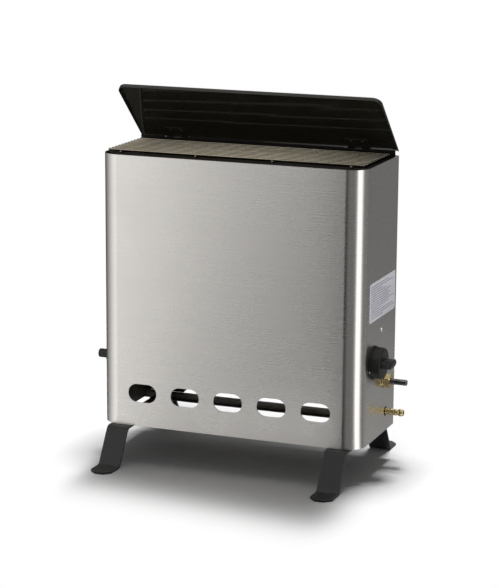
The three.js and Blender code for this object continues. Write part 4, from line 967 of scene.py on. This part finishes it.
def label_and_mark():
    """The foil label with rounded corners, and a small printed pointer under it."""
    low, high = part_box("label_plate")
    outline, normals = rounded_outline(low.y, high.y, low.z, high.z, [2.5 * MM] * 4, 8)
    label = wall_plate(outline, normals, edge_levels(0, 0.3 * MM, 0.1 * MM))
    formed("label_foil", [label], "cabinet", ["label_plate"], ruled_foil)
    corner = np.array([(6.5, 196.8), (6.5, 197.6), (12.3, 197.6), (12.8, 196.9), (12.8, 191.6),
                       (11.7, 191.2), (9.6, 193.6), (9.4, 196.2)]) * MM
    inward = corner.mean(0) - corner
    inward = inward / np.linalg.norm(inward, axis=1)[:, None]
    mark = wall_plate(corner, inward, edge_levels(0, 0.12 * MM, 0.03 * MM))
    formed("pointer_mark", [mark], "cabinet", [], printed_mark)


# ---- igniter on the left wall


def ridged_nut(ridges=14, bore=8.0):
    """A nut with moulded ridges, radius = r - 0.45 |sin 14 a|, and a smooth bore; in millimetres."""
    angle = np.linspace(0, TURN, 12 * ridges, endpoint=False)
    radius = 10.5 - 0.45 * np.abs(np.sin(ridges * angle))[:, None]
    outline = np.column_stack([np.cos(angle), np.sin(angle)])
    levels = [(0.3, 2.5), (0.3, 0.4), (0.7, 0), (3.0, 0), (3.7, 0.8), (3.7, 2.5)]
    sections = [(height, outline * (radius - inset)) for height, inset in levels]
    sections += [(height, outline * bore) for height in (3.7, 0.3)]
    sections.append(sections[0])
    rings = [np.column_stack([np.full(len(angle), LEFT_WALL - height * MM), plane * MM + np.array(PIEZO)])
             for height, plane in sections]
    return np.concatenate(rings), grid_faces(len(rings), len(angle))


def igniter_outside():
    """The igniter's button and its nut."""
    profile = soft_profile([(-12.6, 0, 0), (-12.6, 6, 0), (17, 6, 1.4), (17, 0, 0)]) * (-MM, MM)
    button = turned_form(profile, 56, "x", (LEFT_WALL, *PIEZO))
    formed("piezo_button_moulded", [button], "piezo_button", ["piezo_button"], moulded_plastic,
           35)
    formed("piezo_nut_ridged", [ridged_nut()], "cabinet", ["piezo_nut"], moulded_plastic,
           50)


grille_wires()
lid_pan()
lid_rivets()
notch_welds()
leg_rivets()
rear_screws()
control_knob()
knob_details()
safety_valve_outside()
hose_nozzle()
label_and_mark()
igniter_outside()


# ---- studio

FLOOR_TONE = 0.95
FLOOR_REACH = 14.0
CARD_HEIGHT = 1.7
MIRRORED_VIEW = (1.001, 2.459)
LEFT_CORNER = (-0.1665, -0.046)
RIGHT_CORNER = (0.1515, -0.046)
RIGHT_FAN = (0.162, -0.03)


def empty_bench(holder):
    """The bench of a material or world whose nodes are cleared."""
    holder.use_nodes = True
    holder.node_tree.nodes.clear()
    return Bench(holder.node_tree)


def emitting(name):
    """A material that glows as strongly as its mesh's "glow" values say."""
    material = bpy.data.materials.new(name)
    bench = empty_bench(material)
    strength = bench.add("Attribute", attribute_name="glow").outputs["Fac"]
    glow = bench.add("Emission", {"Strength": strength}).outputs[0]
    bench.add("OutputMaterial", {"Surface": glow})
    return material


def stage_piece(name, points, faces, material):
    """A piece of the studio, which isn't part of the heater."""
    made = mesh_object(name, points, faces)
    made.data.materials.append(material)
    return made


def level_sheet(name, left, right, front, rear, height, material):
    """A flat stage piece parallel to the floor."""
    corners = [(left, front, height), (right, front, height), (right, rear, height), (left, rear, height)]
    return stage_piece(name, corners, [[0, 1, 2, 3]], material)


def graded(made, name, values):
    """Gives each point of a stage piece its own value."""
    made.data.attributes.new(name, "FLOAT", "POINT").data.foreach_set("value", np.ravel(values))


def out_of_sight(made, shadow=False, gloss=False):
    """A stage piece that the camera and the floor don't see."""
    made.visible_camera = False
    made.visible_diffuse = False
    made.visible_transmission = False
    made.visible_volume_scatter = False
    made.visible_glossy = gloss
    made.visible_shadow = shadow


def seen_directly(bench):
    """1 for rays from the camera, from gloss and through glass."""
    path = bench.add("LightPath").outputs
    direct = bench.calc("MAXIMUM", path["Is Camera Ray"], path["Is Glossy Ray"])
    return bench.calc("MAXIMUM", direct, path["Is Transmission Ray"])


def floor_material():
    """White floor that takes the shadow near the object and turns plain white further off."""
    material = bpy.data.materials.new("studio_floor")
    bench = empty_bench(material)
    own = bench.add("TexCoord").outputs["Object"]
    away = bench.add("VectorMath", {0: own}, operation="LENGTH").outputs["Value"]
    paper = bench.add("BsdfDiffuse", {"Color": (FLOOR_TONE, FLOOR_TONE, FLOOR_TONE, 1)}).outputs[0]
    white = bench.add("Emission", {"Strength": 1.0}).outputs[0]
    share = bench.times(bench.span(away, 0.62, 1.1), seen_directly(bench))
    mixed = bench.add("MixShader", {0: share, 1: paper, 2: white}).outputs[0]
    bench.add("OutputMaterial", {"Surface": mixed})
    return material


def world_light(strength):
    """White to the camera, gloss and glass; a softer even light to everything else."""
    world = bpy.data.worlds.new("studio")
    bpy.context.scene.world = world
    bench = empty_bench(world)
    soft, white = (bench.add("Background", {"Color": (1, 1, 1, 1), "Strength": value}).outputs[0]
                   for value in (strength, 1.0))
    mixed = bench.add("MixShader", {0: seen_directly(bench), 1: soft, 2: white}).outputs[0]
    bench.add("OutputWorld", {"Surface": mixed})


def lamp(name, place, aim, width, height, watts):
    """A rectangular area lamp at a place, turned to its aim; gloss sees the cards instead of it."""
    light = bpy.data.lights.new(name, "AREA")
    light.shape = "RECTANGLE"
    light.size, light.size_y = width, height
    light.energy = watts
    made = linked(name, light)
    heading = (Vector(aim) - Vector(place)).to_track_quat("-Z", "Y")
    made.matrix_world = Matrix.Translation(place) @ heading.to_matrix().to_4x4()
    made.visible_glossy = False
    return made


def spare_the_floor(*lamps):
    """These lamps light the object and leave the floor to the top lamp, so its shadow stays deep."""
    spared = bpy.data.collections.new("floor_only")
    spared.objects.link(bpy.data.objects["floor"])
    spared.collection_objects[0].light_linking.link_state = "EXCLUDE"
    for made in lamps:
        made.light_linking.receiver_collection = spared


def glowing_card(name, centre, glow, near, far, lift=0.002, foot=1.0, columns=96):
    """A card that only gloss sees: it lies on the floor from near to far, then stands up.

    It opens like a fan from its centre: x = cx + r sin h, y = cy - r cos h, h in degrees from -Y
    towards +X. Its glow follows {h: strength}, and starts at the share foot near the fan.
    """
    known, strengths = np.array(list(glow.items())).T
    heading = np.linspace(known[0], known[-1], columns)
    turn = np.radians(heading)[None]
    reach = np.array([near, (near + far) / 2, far, far])[:, None]
    level = np.array([lift, lift, lift, CARD_HEIGHT])[:, None] + 0 * turn
    points = np.stack([centre[0] + reach * np.sin(turn), centre[1] - reach * np.cos(turn), level], -1)
    made = stage_piece(name, points.reshape(-1, 3), grid_faces(4, columns, around=False), emitting(name))
    shares = np.array([foot, (1 + foot) / 2, 1, 1])[:, None]
    graded(made, "glow", shares * np.interp(heading, known, strengths))
    out_of_sight(made, gloss=True)


def studio_cards():
    """The graded cards that the steel mirrors: the front, both rounded corners and the right wall."""
    glowing_card("front_card", MIRRORED_VIEW,
                 {-27.6: 1.15, -25.3: 1.2, -24.9: 1.15, -23.9: 1.04, -23.2: 0.83, -22.1: 0.67,
                  -21.1: 0.56, -20.3: 0.48, -19.4: 0.45, -19: 0.44, -18.62: 0.3},
                 near=2.95, far=4.7, foot=0.74)
    glowing_card("left_corner_card", LEFT_CORNER,
                 {-178: 0.06, -125: 0.1, -118: 0.15, -105: 0.3, -83: 0.56, -67: 0.84, -50: 1.1,
                  -40: 1.2, -28: 1.2},
                 near=0.03, far=1.2, lift=0.003)
    glowing_card("right_corner_card", RIGHT_FAN,
                 {-18.3: 0.14, -15: 0.03, -5: 0.03, 0: 0.12, 8: 0.19, 25: 0.18, 44: 0.2, 52: 0.6,
                  58: 1.9, 82: 1.6, 90: 0.4, 102: 0.24, 120: 0.21},
                 near=0.03, far=1.2, lift=0.003)
    glowing_card("right_wall_card", RIGHT_CORNER, {121: 0.21, 130: 0.19, 178: 0.19},
                 near=0.1, far=1.2, foot=1.9)


def graded_net(name):
    """A black net that passes light where the attribute "cover" is 0 and none where it is 1."""
    material = bpy.data.materials.new(name)
    bench = empty_bench(material)
    cover = bench.add("Attribute", attribute_name="cover").outputs["Fac"]
    black = bench.add("BsdfDiffuse", {"Color": (0, 0, 0, 1)}).outputs[0]
    open_part = bench.add("BsdfTransparent").outputs[0]
    mixed = bench.add("MixShader", {0: cover, 1: open_part, 2: black}).outputs[0]
    bench.add("OutputMaterial", {"Surface": mixed})
    return material


def shadow_net(steps=90):
    """A graded net low over the floor, which widens the shadow forward and softens its edge.

    cover = s((u + 0.196) / 0.02) s((0.17 - u) / 0.03) s((v + 0.214) / 0.06) s((0.14 - w) / 0.045)
    with u = x + 0.077 y, v = y + 0.148 x, w = y + 0.25 x and the smooth step s(t) = (1 + tanh 1.2 t) / 2.
    """
    across, along = np.meshgrid(np.linspace(-0.32, 0.3, steps), np.linspace(-0.42, 0.32, steps))
    points = np.stack([across, along, np.full_like(across, 1.5 * MM)], -1).reshape(-1, 3)
    u, v, w = across + 0.077 * along, along + 0.148 * across, along + 0.25 * across
    cover = 1.0
    for distance, spread in ((u + 0.196, 0.02), (0.17 - u, 0.03), (v + 0.214, 0.06), (0.14 - w, 0.045)):
        cover = cover * (1 + np.tanh(1.2 * distance / spread)) / 2
    faces = grid_faces(steps, steps, around=False)
    made = stage_piece("shadow_net", points, faces, graded_net("shadow_net"))
    graded(made, "cover", cover)
    out_of_sight(made, shadow=True)


def overhead_card():
    """A bright sheet above the front that only gloss sees: the long light on rod, wires and brass."""
    made = level_sheet("overhead_card", -1.0, 0.8, -2.6, -1.0, 1.8, emitting("overhead_card"))
    graded(made, "glow", [3.2, 1.2, 1.2, 3.2])
    out_of_sight(made, gloss=True)


level_sheet("floor", -FLOOR_REACH, FLOOR_REACH, -FLOOR_REACH, FLOOR_REACH, 0.0, floor_material())
world_light(strength=0.12)
lamp("top_softbox", place=(0.0, 0.3, 6.0), aim=(0, 0, 0), width=1.5, height=1.2, watts=345)
spare_the_floor(
    lamp("front_fill", place=(-1.3, -2.7, 0.9), aim=(0, 0, 0.25), width=1.7, height=1.2, watts=44),
    lamp("right_fill", place=(2.6, -1.2, 0.9), aim=(0, 0, 0.25), width=1.2, height=1.2, watts=40))
studio_cards()
shadow_net()
overhead_card()


# ---- camera


def camera():
    """The photograph's viewpoint: from the right and above."""
    yaw, pitch, roll = 0.3689, 0.22, 0.0069
    distance, target = 2.8601, (-5.17 * MM, 0.0, 229.1 * MM)
    focal_length, long_side, sensor = 2134.9, 588, 36.0
    level = Matrix.Translation(target) @ Matrix.Rotation(yaw, 4, "Z")
    tilted = level @ Matrix.Rotation(QUARTER - pitch, 4, "X") @ Matrix.Rotation(roll, 4, "Z")
    lens = bpy.data.cameras.new("photo_camera")
    lens.sensor_width = sensor
    lens.lens = focal_length * sensor / long_side
    lens.clip_end = 100
    made = linked("photo_camera", lens)
    made.matrix_world = tilted @ Matrix.Translation((0, 0, distance))
    bpy.context.scene.camera = made


camera()
bpy.context.scene.view_settings.view_transform = "Standard"
